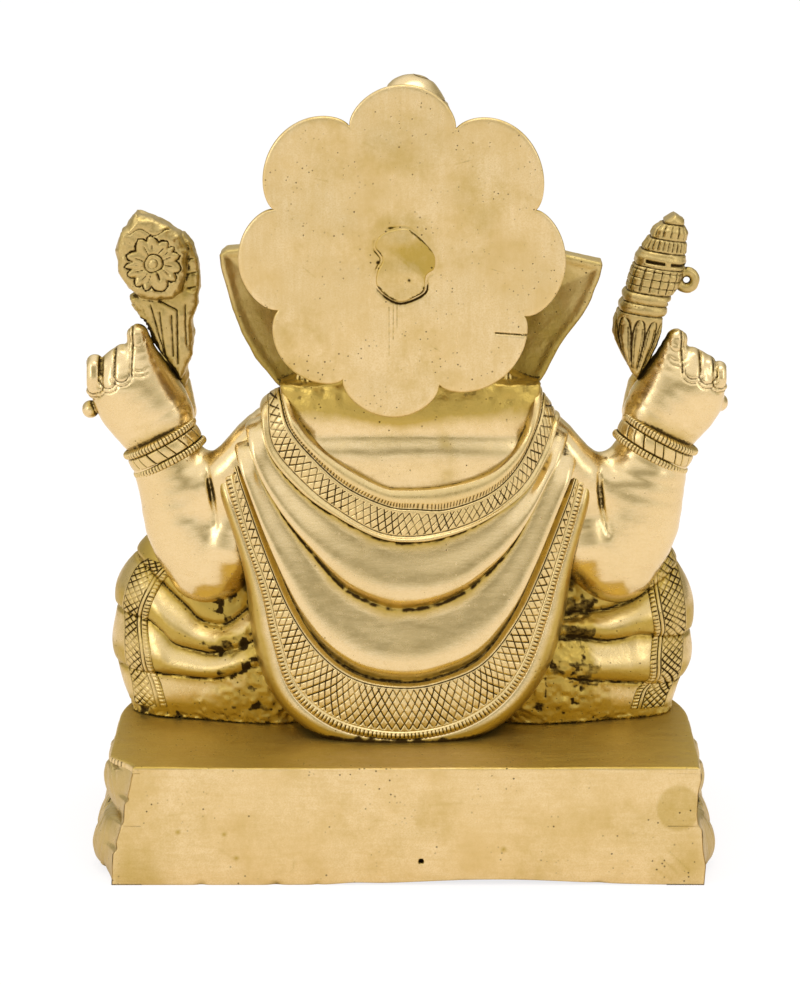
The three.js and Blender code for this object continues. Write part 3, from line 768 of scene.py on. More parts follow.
# Cloth lines from the figure's left shoulder, down round the back and up to its right shoulder: x, z.
LINES = {
    "inner": [(28.9, 115.7), (25.5, 107.9), (20.6, 102.5), (13.4, 97.5), (5.1, 93.4), (-0.2, 92.8),
              (-9.4, 93.2),
              (-19.4, 95.5), (-25.7, 99.7), (-29.9, 105.8), (-32, 115.2)],
    "tick_line": [(30.1, 114.6), (27.5, 106.6), (21.1, 99.3), (13.6, 93.2), (3.7, 88.9), (-3.1, 88.2),
                  (-10.6, 88.1), (-20.9, 91.6), (-27.7, 98), (-32.3, 107.6), (-33.8, 113.4)],
    "collar_edge": [(33.3, 112.7), (31.8, 102), (23.7, 93), (16.1, 87.4), (6.8, 82.4), (-1.4, 81.2),
                    (-11.1, 82.6), (-19.9, 85.8), (-28, 91.5), (-33.1, 98.9), (-36.8, 108.4)],
    "collar_crease": [(35.3, 109), (32.9, 99.4), (25.1, 90.7), (15.6, 84.9), (5.9, 80.5), (-1.2, 79.6),
                      (-8.3, 80.2), (-18, 83.6), (-29.2, 90.4), (-34.9, 98.6), (-38.1, 106.4)],
    "fold_crease": [(39.1, 104), (35.4, 93.7), (30, 84.7), (23.2, 76.6), (15.1, 68), (6.6, 63.9),
                    (-0.2, 62.8),
                    (-9.2, 64.4), (-18, 68.9), (-27.1, 78), (-35.4, 93.3), (-40.1, 102.1)],
    "hem_crease": [(41.4, 99.2), (38, 89.7), (32.1, 73.9), (26.2, 61), (19.4, 51.9), (10.8, 46.3),
                   (-0.2, 44.7),
                   (-9.3, 46.1), (-18.8, 50.2), (-26.4, 59.5), (-32.1, 70.9), (-39.2, 88.3), (-42.4, 96.6)],
    "hem_edge": [(42.9, 96.2), (37.8, 78.5), (33.4, 66.5), (30.7, 55.2), (27.3, 44.4), (21.4, 37.8),
                 (12.5, 33.7),
                 (-0.2, 32.3), (-12.8, 34.5), (-23.1, 40.4), (-29.3, 48.8), (-33.9, 62), (-38.8, 77.9),
                 (-43.6, 94.4)],
    "hem_outer": [(44.7, 94.6), (39.8, 80.8), (35.0, 66.2), (32.2, 53.8), (28.6, 42.7), (22.4, 36.0),
                  (13.5, 31.9),
                  (0, 30.5), (-13.3, 32.6), (-23.4, 38), (-30.3, 46.6), (-34.9, 58.9), (-37.9, 69.8),
                  (-41.3, 80.8), (-44.9, 93.6)],
}
ORDER = list(LINES)
SHOULDER_ROUND = 9.0


def even_line(points, n):
    """The line resampled to n points, evenly along its length."""
    fine = spline(points, 600)
    run = np.concatenate([[0], np.cumsum(np.hypot(*np.diff(fine, axis=0).T))])
    at = np.linspace(0, run[-1], n)
    return np.column_stack([np.interp(at, run, fine[:, 0]), np.interp(at, run, fine[:, 1])]), run[-1]


def beside(name, guide):
    """Points of a line that lie straight across from the guide's points."""
    last = 1499
    fine, _ = even_line(LINES[name], last + 1)
    gap = ((guide[:, None] - fine[None]) ** 2).sum(-1)
    at = np.maximum.accumulate(gap.argmin(1).astype(float))
    at = (at - at[0]) / (at[-1] - at[0]) * last
    window = max(3, len(guide) // 28) | 1
    padded = np.concatenate([2 * at[0] - at[window // 2:0:-1], at, 2 * at[-1] - at[-2:-window // 2 - 1:-1]])
    at = np.convolve(padded, np.ones(window) / window, "valid")[:len(guide)]
    at = np.interp(at, (at[0], at[-1]), (0, last)) * 0.97 + 0.03 * np.linspace(0, last, len(guide))
    where = np.arange(last + 1)
    return np.column_stack([np.interp(at, where, fine[:, 0]), np.interp(at, where, fine[:, 1])])


def cloth_line(name, n, wrap, guide=None):
    """A cloth line in space: on the back, with `wrap` more points at each end, over the shoulders.

    With a guide, its points lie straight across from that line's.
    """
    flat, length = even_line(LINES[name], n)
    if guide and guide != name:
        flat = beside(name, even_line(LINES[guide], n)[0])
    run = np.linspace(0, length, n)
    edge = np.minimum(run, length - run)
    bend = np.clip(1 - edge / SHOULDER_ROUND, 0, 1)
    y = back_y(flat[:, 0], flat[:, 1]) - 0.72 * SHOULDER_ROUND * (1 - np.sqrt(1 - bend**2 * 0.998))
    line = np.column_stack([flat[:, 0], y, flat[:, 1]])
    caps = []
    for end, nxt in ((0, n // 16), (-1, -1 - n // 16)):
        way = line[end] - line[nxt]
        way[1] = 0
        way /= np.linalg.norm(way) + 1e-9
        angle = np.linspace(0, 1, wrap + 1)[1:] * math.radians(80)
        drop = np.sin(angle)[:, None] * [0, -16, 0]
        back = (np.cos(angle) - 1)[:, None] * way * 7
        caps.append(line[end] + drop + back)
    return np.concatenate([caps[0][::-1], line, caps[1]]), length


def fold(t, low, top, under):
    """Cross-section of a fold: starts low, swells outwards and rolls under at its lower edge."""
    swell = low + (top - low) * smooth(0.0, 0.72, t)
    roll = smooth(0.76, 1.0, t) ** 1.6
    return swell * (1 - roll) + under * roll


def cloth_sheet(first, last, cols, rows_per_gap, heights, wrap, guide=None):
    """Grid from one cloth line to another.

    heights(gap, t, width) gives its height off the back and its grime: gap counts the bands between lines,
    t runs 0 to 1 across a band, and width is the band's, in mm.
    """
    names = ORDER[ORDER.index(first):ORDER.index(last) + 1]
    lines = [cloth_line(name, cols - 2 * wrap, wrap, guide)[0] for name in names]
    rows, lift, dirt = [], [], []
    for g in range(len(lines) - 1):
        count = rows_per_gap[g]
        width = np.linalg.norm(lines[g + 1] - lines[g], axis=1)
        for i in range(count + (g == len(lines) - 2)):
            t = i / count
            rows.append(lines[g] * (1 - t) + lines[g + 1] * t)
            h, d = heights(g, t, width)
            lift.append(np.broadcast_to(h, cols))
            dirt.append(np.broadcast_to(d, cols))
    points = np.array(rows)
    normals = grid_normals(points)
    points = points + normals * np.array(lift)[..., None]
    return points, np.array(dirt), normals


def along(cols, wrap, length):
    """Distance in millimetres along a line that has `wrap` extra points at each end."""
    return (np.arange(cols) - wrap) * length / (cols - 2 * wrap - 1)


def hatch(u, v, pitch, slant, width, seed):
    """Depth, 0 to 1, of hand-cut cross-hatching; u runs along the border and v across it."""
    wander = 0.22 * np.sin(u * 0.19 + seed) + 0.07 * np.sin(u * 0.83 + 2 * seed)
    depth = 0
    for sign, phase in ((1, 0.0), (-1, 0.31)):
        cell = (u + sign * v * slant) / pitch + phase + wander * (0.8 if sign > 0 else -0.6)
        line = nearest(cell) * pitch / math.hypot(1, slant)
        force = 0.7 + 0.3 * np.sin(np.round(cell) * 12.9898 + seed * 3.1 + sign) ** 2
        depth = np.maximum(depth, bell(line, width) * force)
    return depth


def ticks(u, pitch, width, seed=0):
    """Depth, 0 to 1, of hand-cut ticks across a border."""
    return grooves(u + 0.12 * pitch * np.sin(u * 0.9 + seed), pitch, width)


def border_sheet(node, first, last, guide, gaps, heights, inner_lip, outer_lip):
    """A chased border of the cloth, fine enough to hold its cut lines. A lip says how its edge turns in."""
    length = even_line(LINES[guide], 9)[1]
    wrap = int(22 / COARSE)
    cols = int(length * 6.8 / COARSE) + 2 * wrap
    rows = [max(4, int(g / COARSE)) for g in gaps]
    u = along(cols, wrap, length)
    points, dirt, normals = cloth_sheet(first, last, cols, rows, lambda g, t, w: heights(g, t, u, w), wrap,
                                        guide)
    lips = []
    for row, step, away in ((0, 1, inner_lip), (-1, -2, outer_lip)):
        outward = points[row] - points[step]
        outward /= np.linalg.norm(outward, axis=1)[:, None] + 1e-9
        lips.append(points[row] + outward * away[0] - normals[row] * away[1])
    piece(node, skin(*with_lips(points, dirt, *lips), (0, -20, 80)), "chased_brass", CHASED)


def collar_heights(gap, t, u, w):
    """Height and grime of the collar band: milled rim, cross-hatching, and a bead that drops to the cloth."""
    if gap == 0:
        zone = smooth(0.66, 0.74, t) * smooth(1.0, 0.95, t)
        cut = ticks(u, 0.92, 0.2) * zone
        return 0.15 + 0.9 * math.sin(math.pi * min(t * 0.9 + 0.08, 1)) - 0.3 * cut, 0.8 * cut
    if gap == 1:
        line = np.maximum(bell(t * w - 0.15, 0.2), 0.8 * bell((1 - t) * w - 0.3, 0.18))
        zone = smooth(0.9, 1.1, t * w) * smooth(0.45, 0.7, (1 - t) * w)
        cut = hatch(u, t * w, 2.0, 0.62, 0.19, seed=1) * zone
        deep = np.maximum(cut, line)
        return 0.55 + 0.25 * math.sin(math.pi * t) - 0.32 * deep, deep
    bead = math.sin(math.pi * min(t * 1.15, 1)) * 0.55
    drop = smooth(0.6, 1.0, t) * 1.9
    crust = np.clip(0.6 + 0.5 * np.sin(u * 1.9 + 3 * np.sin(u * 0.7)), 0, 1)
    return 0.5 + bead - drop + 0 * u, 0.9 * smooth(0.55, 0.9, t) * crust


def hem_heights(gap, t, u, w):
    """Height and grime of the hem band: cross-hatching, then a milled edge."""
    if gap == 0:
        line = np.maximum(bell(t * w - 1.3, 0.18), 0.8 * bell((1 - t) * w, 0.2))
        zone = smooth(1.5, 1.7, t * w) * smooth(0.35, 0.6, (1 - t) * w)
        cut = hatch(u, t * w, 2.1, 0.62, 0.19, seed=4) * zone
        deep = np.maximum(cut, line)
        rise = -1.3 + 1.6 * smooth(0.0, 1.3, t * w)
        return rise + 0.25 * math.sin(math.pi * t) - 0.34 * deep, np.maximum(deep, 0.7 * (t < 0.03))
    cut = ticks(u, 0.95, 0.22, 3) * smooth(0.12, 0.25, t) * smooth(1.1, 0.85, t)
    return 0.35 + 0.5 * math.sin(math.pi * t) - 0.35 * cut, 0.8 * cut


def fold_heights(gap, t, spread):
    """Height and grime of the two big folds; spread is 1 in the middle of the back and 0 at the shoulders."""
    fade = 0.75 + 0.25 * spread
    if gap == 0:
        return fold(t, -1.1, 1.1, -1.5) * fade, 0.9 * bell(t, 0.045) + 0.8 * smooth(0.93, 0.99, t)
    return fold(t, -1.2, 1.4, -1.3) * fade, 0.9 * bell(t, 0.04) + 0.8 * smooth(0.94, 0.99, t)


def shawl_front():
    """The two folds that hang across the back."""
    cols, wrap = int(430 / COARSE), int(16 / COARSE)
    rows = [int(70 / COARSE), int(70 / COARSE)]
    spread = 1 - abs(np.linspace(-1, 1, cols)) ** 3
    points, dirt, normals = cloth_sheet("collar_crease", "hem_crease", cols, rows,
                                        lambda g, t, w: fold_heights(g, t, spread), wrap)
    sheet, grime = with_lips(points, dirt, points[0] - normals[0] * 1.5, points[-1] - normals[-1] * 1.5)
    flat = sheet.reshape(-1, 3)
    flat[:, 1] += 0.22 * NOISE.at(flat, 13.0) + 0.06 * NOISE.at(flat, 5.0)
    grime = grime.ravel() * np.clip(0.85 + 0.9 * NOISE.at(flat, 1.3) + 0.5 * NOISE.at(flat, 4.0), 0.2, 1)
    t = np.concatenate([[0], np.linspace(0, 1, rows[0] + 1)[:-1], np.linspace(0, 1, rows[1] + 1), [1]])
    # painted shade: tint on the underside of each fold's roll and along its top next to the crease
    under = 0.55 * smooth(0.72, 0.95, t) + 0.6 * smooth(0.2, 0.02, t)
    return skin(sheet, grime, (0, -20, 80), np.repeat(under, cols))


# Section of the cloth's outer wall: how far out, and how far forward, from the milled edge.
WALL = [(0.0, -1.0), (0.1, 0.2), (0.7, 0.45), (1.5, 0.1), (2.3, -1.2), (2.9, -3.4), (3.3, -6.5), (3.6, -11),
        (3.8, -17)]


def shawl_wall():
    """Plain outer wall of the cloth, from the milled edge forwards to the arms, legs and pedestal."""
    cols, wrap = int(430 / COARSE), int(16 / COARSE)
    line, _ = cloth_line("hem_outer", cols - 2 * wrap, wrap)
    tangent = np.gradient(line, axis=0)
    outward = np.column_stack([tangent[:, 2], 0 * tangent[:, 0], -tangent[:, 0]])
    outward /= np.linalg.norm(outward, axis=1)[:, None] + 1e-9
    if outward[len(line) // 2, 2] > 0:
        outward = -outward
    section = spline(WALL, int(36 / COARSE))
    run = np.concatenate([[0], np.cumsum(np.linalg.norm(np.diff(line, axis=0), axis=1))])
    taper = smooth(4, 24, np.minimum(run, run[-1] - run))[:, None]
    flare = taper * (1 + 0.7 * smooth(78, 48, line[:, 2:3]))
    wall = np.array([line + outward * a * flare + np.array([0, 1, 0]) * b * (0.5 + 0.5 * taper)
                     for a, b in section])
    wall[..., 2] = np.maximum(wall[..., 2], BASE_TOP - 0.6)
    flat = wall.reshape(-1, 3)
    dull = np.repeat(0.75 * smooth(0.15, 0.45, np.linspace(0, 1, len(section))), len(line))
    foot = 0.8 * smooth(BASE_TOP + 1.8, BASE_TOP + 0.4, flat[:, 2] + 0.8 * NOISE.at(flat, 1.6))
    return skin(wall, foot, (0, 5, 75), dull)


def build_cloth():
    border_sheet("shawl_collar_band", "inner", "collar_crease", "collar_edge", (34, 52, 16), collar_heights,
                 (0.2, 2.4), (0.1, 1.0))
    border_sheet("shawl_hem_band", "hem_crease", "hem_outer", "hem_edge", (78, 20), hem_heights,
                 (0.1, 1.0), (0.15, 1.0))
    piece("shawl", merge(shawl_front(), shawl_wall()), "polished_brass", BUFFED)
    outline = LINES["hem_outer"] + LINES["inner"][::-1]

    def shape(p):
        return np.maximum(np.maximum(p[1] - back_y(p[0], p[2]) + 1.6, polygon(p[0], p[2], outline)), -p[1])

    occluder(shape, (-46, 2, 29), (46, 30, 116))


# ---- torso ----
def bare_back(x, z):
    """Depth of the bare upper back, inside the collar."""
    y = back_y(x, z) - 1.9
    y = y - 0.8 * bell(z - 105.6 + 0.002 * x**2, 2.6) + 0.45 * bell(z - 100, 4.5)
    return y - 0.03 * np.maximum(z - 109, 0) ** 1.5


# Bare upper back, inside the collar.
YOKE = [(30.5, 117), (27.2, 108), (22, 101.5), (14, 95.5), (5, 91.4), (-10, 91.4), (-20.6, 93.6),
        (-27.4, 98.6),
        (-31.6, 105.4), (-33.4, 117)]


def torso_shape(p):
    belly = ball(p, (0, -8, 62), (33, 29, 31))
    chest = ball(p, (0, 4, 93), (34, 28, 25))
    seat = ball(p, (0, 6, 48), (30, 24, 26))
    neck = ball(p, (-1, 4, 111), (32, 24, 14))
    shoulders = limb(p, [(-35, 3, 97, 7), (-24, 5, 101, 9), (0, 8, 104, 11), (24, 5, 101, 9),
                         (35, 3, 97, 7)], 8)
    d = smin(smin(belly, chest, 7), smin(seat, neck, 4), 7)
    d = smin(d, shoulders, 6)
    for x in (15, -15):
        d = smin(d, ball(p, (x, -20, 95), (11, 7, 9)), 4)
    yoke = np.maximum(np.maximum(polygon(p[0], p[2], YOKE), -p[1] + 2), p[1] - 26)
    d = smin(d, yoke, 3)
    d = smax(d, (p[1] - bare_back(p[0], p[2])) * 0.9, 0.8)
    navel = np.sqrt(p[0] ** 2 + (p[1] + 38) ** 2 + (p[2] - 59) ** 2) - 2.6
    d = smax(d, -navel, 1.5)
    return np.maximum(d, BASE_TOP - p[2])


def build_torso():
    def detail(v, n):
        corner = smooth(20, 29, abs(v[:, 0] + 1)) * smooth(107, 114, v[:, 2]) + smooth(110.5, 116, v[:, 2])
        grit = np.clip(corner, 0, 1) * (0.3 * NOISE.at(v, 1.5) + 0.2 * NOISE.at(v, 2.7))
        rusty = 0.35 * bell(v[:, 0] + 10, 2.2) * bell(v[:, 2] - 100, 7) * (0.6 + NOISE.at(v, 2.4))
        # painted shadow of the halo: a tint over the top of the bare back, just under the halo's lower lobe
        upper = 0.75 * smooth(105.5, 113, v[:, 2] + 0.7 * NOISE.at(v, 9.0))
        # the tint is a rusty stain spot, tarnish and painted halo shadow on the gritty top corners, and the
        # painted shadow of the halo across the top
        tarnish_and_halo_shadow = np.maximum(upper, 0.8 * np.clip(corner, 0, 1)) + np.clip(rusty, 0, 1)
        return 0.16 * NOISE.at(v, 7.0) + grit, 0.5 * smooth(-0.05, -0.2, grit), tarnish_and_halo_shadow

    body("torso", torso_shape, ((-50, -38, 29), (50, 30, 126)), 0.85, BUFFED, "polished_brass", detail)


# ---- legs under the pleated cloth ----
# Height of each crease between folds, as it runs outwards from the body: |x|, z.
CREASES = {
    LEFT: [[(30, 29.6), (80, 29.6)],
           [(38, 44.7), (47, 41.3), (60, 41.2), (70, 41.0), (76, 41)],
           [(36, 52.1), (40.6, 49.8), (47.3, 47.9), (52, 48.2), (57.5, 49.3), (60.6, 52.1), (65, 54.9),
            (72, 55.4)],
           [(39, 58.5), (45, 54.9), (50.8, 55.8), (54.3, 59), (58.3, 62.3), (64, 67), (70, 70)],
           [(30, 72), (80, 84)]],
    RIGHT: [[(30, 29.2), (80, 29.2)],
            [(38, 42.8), (42.5, 41.5), (51.5, 40.1), (60, 38.7), (70, 37.5), (76, 37)],
            [(36, 52.5), (44.2, 51.9), (50.4, 50.7), (55.8, 51), (59.8, 51.4), (72, 49)],
            [(36, 58), (49, 58.1), (53.9, 59.5), (59.6, 61.8), (66, 65), (72, 68)],
            [(30, 73), (80, 86)]],
}


def leg_shape(side):
    def shape(q):
        p = flip_x(q, side)
        knee = pillow(p, (49.4 if side > 0 else 49.1, -8.5, 46.4), (24.1, 19.5, 28.6))
        taper = p[0] - (67.6 if side > 0 else 66.0) - 0.62 * np.maximum(p[2] - BASE_TOP, 0)
        knee = smax(knee, 0.85 * taper, 3.0)
        hip = ball(p, (34, -1, 42), (24, 16.5, 20))
        shin = limb(p, [(60, -20, 42, 11.5), (44, -34, 38, 10), (22, -39, 37.5, 7.4)], 6)
        d = smin(smin(knee, hip, 5), shin, 5)
        d = d - 1.5 * np.exp(-np.maximum(p[2] - BASE_TOP, 0) / 1.3)  # fillet of braze on the pedestal
        return np.maximum(d, BASE_TOP - p[2])
    return shape


def fold_height(side, x, z):
    """Height, dirt and painted shade of the horizontal folds; the painted shade is a tint on the lower part
    of each fold and just under the fold above.
    """
    ax = abs(x)
    levels = [np.interp(ax, *spline(line, 48).T) for line in CREASES[side]]
    height, dirt, stain_and_shade = np.zeros((3, len(x)))
    calm = 1 - 0.5 * smooth(60, 68, ax)
    flat = np.column_stack([x, x * 0, z])
    broken = 0.85 + 0.8 * NOISE.at(flat, 2.2)
    for i, (low, high) in enumerate(zip(levels[:-1], levels[1:])):
        t = np.clip((z - low) / (high - low), 0, 1)
        here = (z >= low) & (z < high)
        belly = np.sqrt(np.clip(1 - (1 - np.minimum(t / 0.38, 1)) ** 2, 0, 1)) * (1 - 0.9
                                                                                  * smooth(0.35, 1.0, t))
        height = np.where(here, ((2.5 if i else 1.4) * belly - (1.0 if i else 0.4)) * calm, height)
        gap = np.minimum(z - low, high - z)
        if i:
            dirt = np.where(here, np.maximum(dirt, bell(z - low, 0.42)), dirt)
        if i < 3:
            dirt = np.where(here, np.maximum(dirt, bell(high - z, 0.42)), dirt)
        height = np.where(here, height - (0.5 + 0.3 * smooth(64, 68, ax)) * bell(gap, 0.5) * (i > 0), height)
        # painted shade: tint on the lower part of each fold and under the roll of the fold above
        stain_and_shade = np.where(here, 0.9 * smooth(0.55, 0.2, t) + 0.7 * bell(high - z, 1.5), stain_and_shade)
    root = smooth(56, 43, ax) * smooth(30, 36, z) * (0.56 + 0.6 * NOISE.at(flat, 4.5) + 0.7
                                                     * NOISE.at(flat, 1.2))
    dirt = np.maximum(dirt, (0.95 if side > 0 else 0.7) * smooth(0.35, 0.7, root) * smooth(0.15, 0.45, stain_and_shade))
    return height, dirt * np.clip(broken, 0, 1) * smooth(74, 66, ax), stain_and_shade


BORDER_INNER = {
    LEFT: [(56.6, 68.2), (59.6, 64.6), (62.2, 60.2), (63.6, 56.0), (63.8, 52.1), (63.2, 47.5), (62.4, 42.8),
           (60.8, 39.1), (59.9, 36), (59.1, 32.6)],
    RIGHT: [(-60.9, 69.4), (-60.3, 65.0), (-61.2, 58.8), (-62.2, 52.6), (-61.8, 49.8), (-61.3, 45),
            (-61.1, 40.5),
            (-59.4, 38.6), (-57.8, 36.8), (-56.5, 32.4)],
}
BORDER_OUTER = {
    LEFT: [(64.4, 69.2), (67.4, 66.4), (69.4, 62.8), (70.8, 57.0), (70.4, 52.5), (70.4, 47.0), (70.0, 42.6),
           (68.8, 38.2), (68.4, 35.2), (68.0, 32.2)],
    RIGHT: [(-67.2, 70.6), (-69.0, 66.6), (-70.6, 59.4), (-71.1, 52.7), (-70.7, 49.0), (-70.4, 45.2),
            (-69.8, 40.6), (-68.0, 37.4), (-66.6, 35.0), (-65.6, 31.8)],
}


def drape(verts, quads, points, lift):
    """Lays a grid of x, z points on a mesh, seen from the back, and lifts it a little."""
    tree = BVHTree.FromPolygons([Vector(v) for v in verts], quads.tolist())
    flat = points.reshape(-1, 2)
    out = np.zeros((len(flat), 3))
    for i, (x, z) in enumerate(flat):
        hit, normal, _, _ = tree.ray_cast(Vector((x, 60, z)), Vector((0, -1, 0)))
        if hit is None:
            hit, normal, _, _ = tree.find_nearest(Vector((x, -5, z)))
        out[i] = hit + normal * lift
    return out.reshape(points.shape[:-1] + (3,))


def leg_border(side, verts, quads):
    """Milled edging, a double line and cross-hatching, down the outer side of the knee."""
    rows, cols = int(300 / COARSE), int(80 / COARSE)
    a, run = even_line(BORDER_INNER[side], rows)
    b, _ = even_line(BORDER_OUTER[side], rows)
    t = np.linspace(0, 1, cols)[None, :, None]
    flat = a[:, None] * (1 - t) + b[:, None] * t
    laid = drape(verts, quads, flat, 0.12)
    width = np.linalg.norm(b - a, axis=1)[:, None] * np.linspace(0, 1, cols)[None]
    span = np.linalg.norm(b - a, axis=1)[:, None]
    u = np.broadcast_to(np.linspace(0, run, rows)[:, None], width.shape)
    cut = 0.7 * ticks(u, 0.95, 0.2, side) * smooth(0.2, 0.35, width) * smooth(1.6, 1.45, width)
    lines = bell(width - 0.15, 0.16) + bell(width - 1.8, 0.17) + bell(width - 2.8,
                                                                      0.17) + bell(width - span + 0.5, 0.18)
    force = 0.75 + 0.5 * NOISE.at(laid.reshape(-1, 3), 4.0).reshape(width.shape)
    area = smooth(2.9, 3.1, width) * smooth(0.4, 0.8, span - width)
    cut = np.maximum(np.maximum(cut, lines), hatch(u, width, 1.75, 0.95, 0.2, 9 + side) * area)
    edge = np.ones(width.shape)  # 1 along the four sides, which turn in
    edge[1:-1, 1:-1] = 0
    fade = smooth(0, 0.7, width) * smooth(0, 0.9, span - width + 0.2)
    cut = np.clip(1.15 * cut * np.clip(force, 0.5, 1), 0, 1)
    laid = laid + grid_normals(laid) * (0.5 * fade - 0.36 * cut - 0.5 * edge)[..., None]
    faces = grid_quads(rows, cols)
    mid = laid[rows // 2, cols // 2]
    away = np.cross(laid[rows // 2, cols // 2 + 1] - mid, laid[rows // 2 + 1, cols // 2] - mid)
    faces = faces if away[1] > 0 else faces[:, ::-1]
    return laid.reshape(-1, 3), faces, np.clip(cut.ravel(), 0, 1), np.full(cut.size, 0.22)


LEG_BOX = {LEFT: ((14, -48, 29), (76, 19, 78)), RIGHT: ((-76, -48, 29), (-14, 19, 78))}


def build_legs():
    for side, name in SIDES:
        def detail(v, n, side=side):
            height, dirt, stain_and_shade = fold_height(side, v[:, 0], v[:, 2])
            x = abs(v[:, 0])
            reach = 50 if side > 0 else 53
            fan = reach + 7 * NOISE.at(v, 5.0) + 0.16 * (45 - v[:, 2])
            crusty = smooth(fan, fan - 12, x) * (v[:, 1] > -2)
            seam = smooth(33.4, 31.0, v[:, 2] + 1.1 * NOISE.at(v, 3.0))
            rough = np.clip(crusty + seam, 0, 1)
            grit = 0.5 * NOISE.at(v, 1.1) + 0.4 * NOISE.at(v, 2.1) + 0.5 * NOISE.at(v, 4.4)
            height = height * (1 - 0.45 * smooth(48, 36, x)) + 0.75 * rough * grit
            hollow = rough * smooth(-0.2, -0.5, grit + 0.2 * NOISE.at(v, 0.7))
            return height, np.clip(np.maximum(dirt, 0.75 * hollow), 0, 1), np.maximum(stain_and_shade, 0.9 * rough)

        shape = leg_shape(side)
        made = solid(shape, *LEG_BOX[side], 0.46, detail)
        border = leg_border(side, made[0], made[1])
        piece(name + "_leg", merge(made, border), "aged_brass", CLOTH)
        occluder(shape, *LEG_BOX[side])


# ---- arms and wristlets ----
REAR_WRIST = {LEFT: ((59.4, 3.0, 98.1), (0.463, 0, 0.887), 9.4),
              RIGHT: ((-62.4, 3.0, 99.4), (-0.47, 0, 0.883), 9.8)}
ARM = {
    LEFT: {"upper": [(34, 3, 95, 8.5), (40, 5, 86, 8), (43.5, 6, 74, 9)],
           "fore": [(48.6, 4.5, 68.6, 10.6), (53.6, 4, 78, 10.6), (56.3, 3.5, 88, 9.6),
                    (58.8, 3, 95.5, 8.9)]},
    RIGHT: {"upper": [(-34, 3, 93, 8.5), (-42, 5, 85, 8.4), (-45, 6, 75, 9.5)],
            "fore": [(-52.3, 4.5, 70, 11.4), (-56.3, 4, 79, 12.0), (-58.8, 3.5, 89, 11.0),
                     (-61.4, 3, 96.4, 9.2)]},
}
SLIT = {LEFT: [(49.8, 14, 98.5, 0.5), (48.4, 14, 93, 0.8), (47.3, 14, 87, 0.85), (46.4, 14, 80.5, 0.3)],
        RIGHT: [(-49.4, 14, 98.5, 0.45), (-48.3, 14, 93, 0.75), (-48.7, 14, 86, 0.75),
                (-50.4, 14, 78.3, 0.15)]}


def rear_arm_shape(side):
    rows = ARM[side]

    def shape(p):
        fore = limb(squash_y(p, 4, 0.86), rows["fore"], 8)
        upper = limb(p, rows["upper"], 6)
        d = smin(fore, upper, 2.0)
        shoulder = limb(p, [(side * 31, 6, 105, 6), (side * 35.5, 7, 100.4, 6.8),
                            (side * 41.5, 7.5, 93.8, 6.8),
                            (side * 48, 5, 88.6, 7.4)], 8)
        d = smin(d, shoulder, 4.5)
        cut = limb(squash_y(p, 14, 3.2), SLIT[side], 6)
        return smax(d, -cut, 0.8)
    return shape


def ring_band(centre, axis, radius, width, profile, squash, cols):
    """Band round a limb; profile(u, v) gives height and grime, with u round it and v across it, in mm."""
    cols, rows = int(cols / COARSE), int(max(28, width * 7) / COARSE)
    axis, side, third = square_to(axis)
    angle = np.linspace(0, 2 * math.pi, cols, endpoint=False)
    v = np.linspace(0, width, rows)
    uu, vv = np.meshgrid(angle * radius, v)
    height, grime = profile(uu, vv)
    reach = radius + height
    aa = uu / radius
    centre = np.array(centre)
    points = (
        centre
        + axis * (vv - width / 2)[..., None]
        + side * (np.cos(aa) * reach)[..., None]
        + third * (np.sin(aa) * reach * squash)[..., None]
    )
    inner = 0.35  # share of the radius at which the band's two ends are left open, inside the limb
    lips = []
    for row, h in ((0, -width / 2), (-1, width / 2)):
        lips.append(centre + axis * h + (points[row] - centre - axis * h) * inner)
    return skin(*with_lips(points, grime, *lips), centre, wrap=True)


def wristlet_profile(width):
    def profile(u, v):
        edge = width * 0.27
        near = np.minimum(v, width - v)
        rim = 0.75 * np.sqrt(np.clip(np.sin(math.pi * np.clip(near / edge, 0, 1)), 0, 1)) * (near < edge)
        cut = ticks(u, 0.95, 0.22, 2) * (near < edge * 0.96)
        middle = near >= edge
        mid = 0.35 * np.sqrt(np.clip(np.sin(math.pi * np.clip((near - edge) / (width / 2 - edge) / 2, 0,
                                                              1)), 0, 1))
        block = ticks(u + 0.45 * (v - width / 2), 2.9, 0.2, 5) * middle
        seam = bell(near - edge, 0.2)
        deep = np.maximum(np.maximum(cut * 0.8, block), seam)
        return rim + np.where(middle, mid, 0) - 0.38 * deep - 0.7 * smooth(0.35, 0, near), np.clip(deep, 0,
                                                                                                   1) * 0.9
    return profile


def band_piece(name, centre, axis, radius, width, squash, cols=640, profile=None):
    made = ring_band(centre, axis, radius, width, profile or wristlet_profile(width), squash, cols)
    piece(name, made, "chased_brass", CHASED)
    c, unit = np.array(centre), square_to(axis)[0]

    def shape(p):
        h, r = round_axis(p, c, unit)
        return np.maximum(r - radius * min(1, squash + 0.08), abs(h) - width / 2)

    occluder(shape, c - radius - 2, c + radius + 2)


def soft_skin(v, n):
    """Faint unevenness of a hand-buffed surface, with no dirt."""
    return 0.07 * NOISE.at(v, 6.0) + 0.03 * NOISE.at(v, 2.5), np.zeros(len(v))


def build_rear_arms():
    for side, name in SIDES:
        shape = rear_arm_shape(side)
        box = ((20, -12, 55), (72, 18, 114)) if side > 0 else ((-76, -12, 55), (-20, 18, 114))
        body(name + "_rear_arm", shape, box, 0.6, BUFFED, "polished_brass", soft_skin)
        centre, axis, radius = REAR_WRIST[side]
        band_piece(name + "_rear_wristlet", centre, axis, radius, 7.4, 0.86)


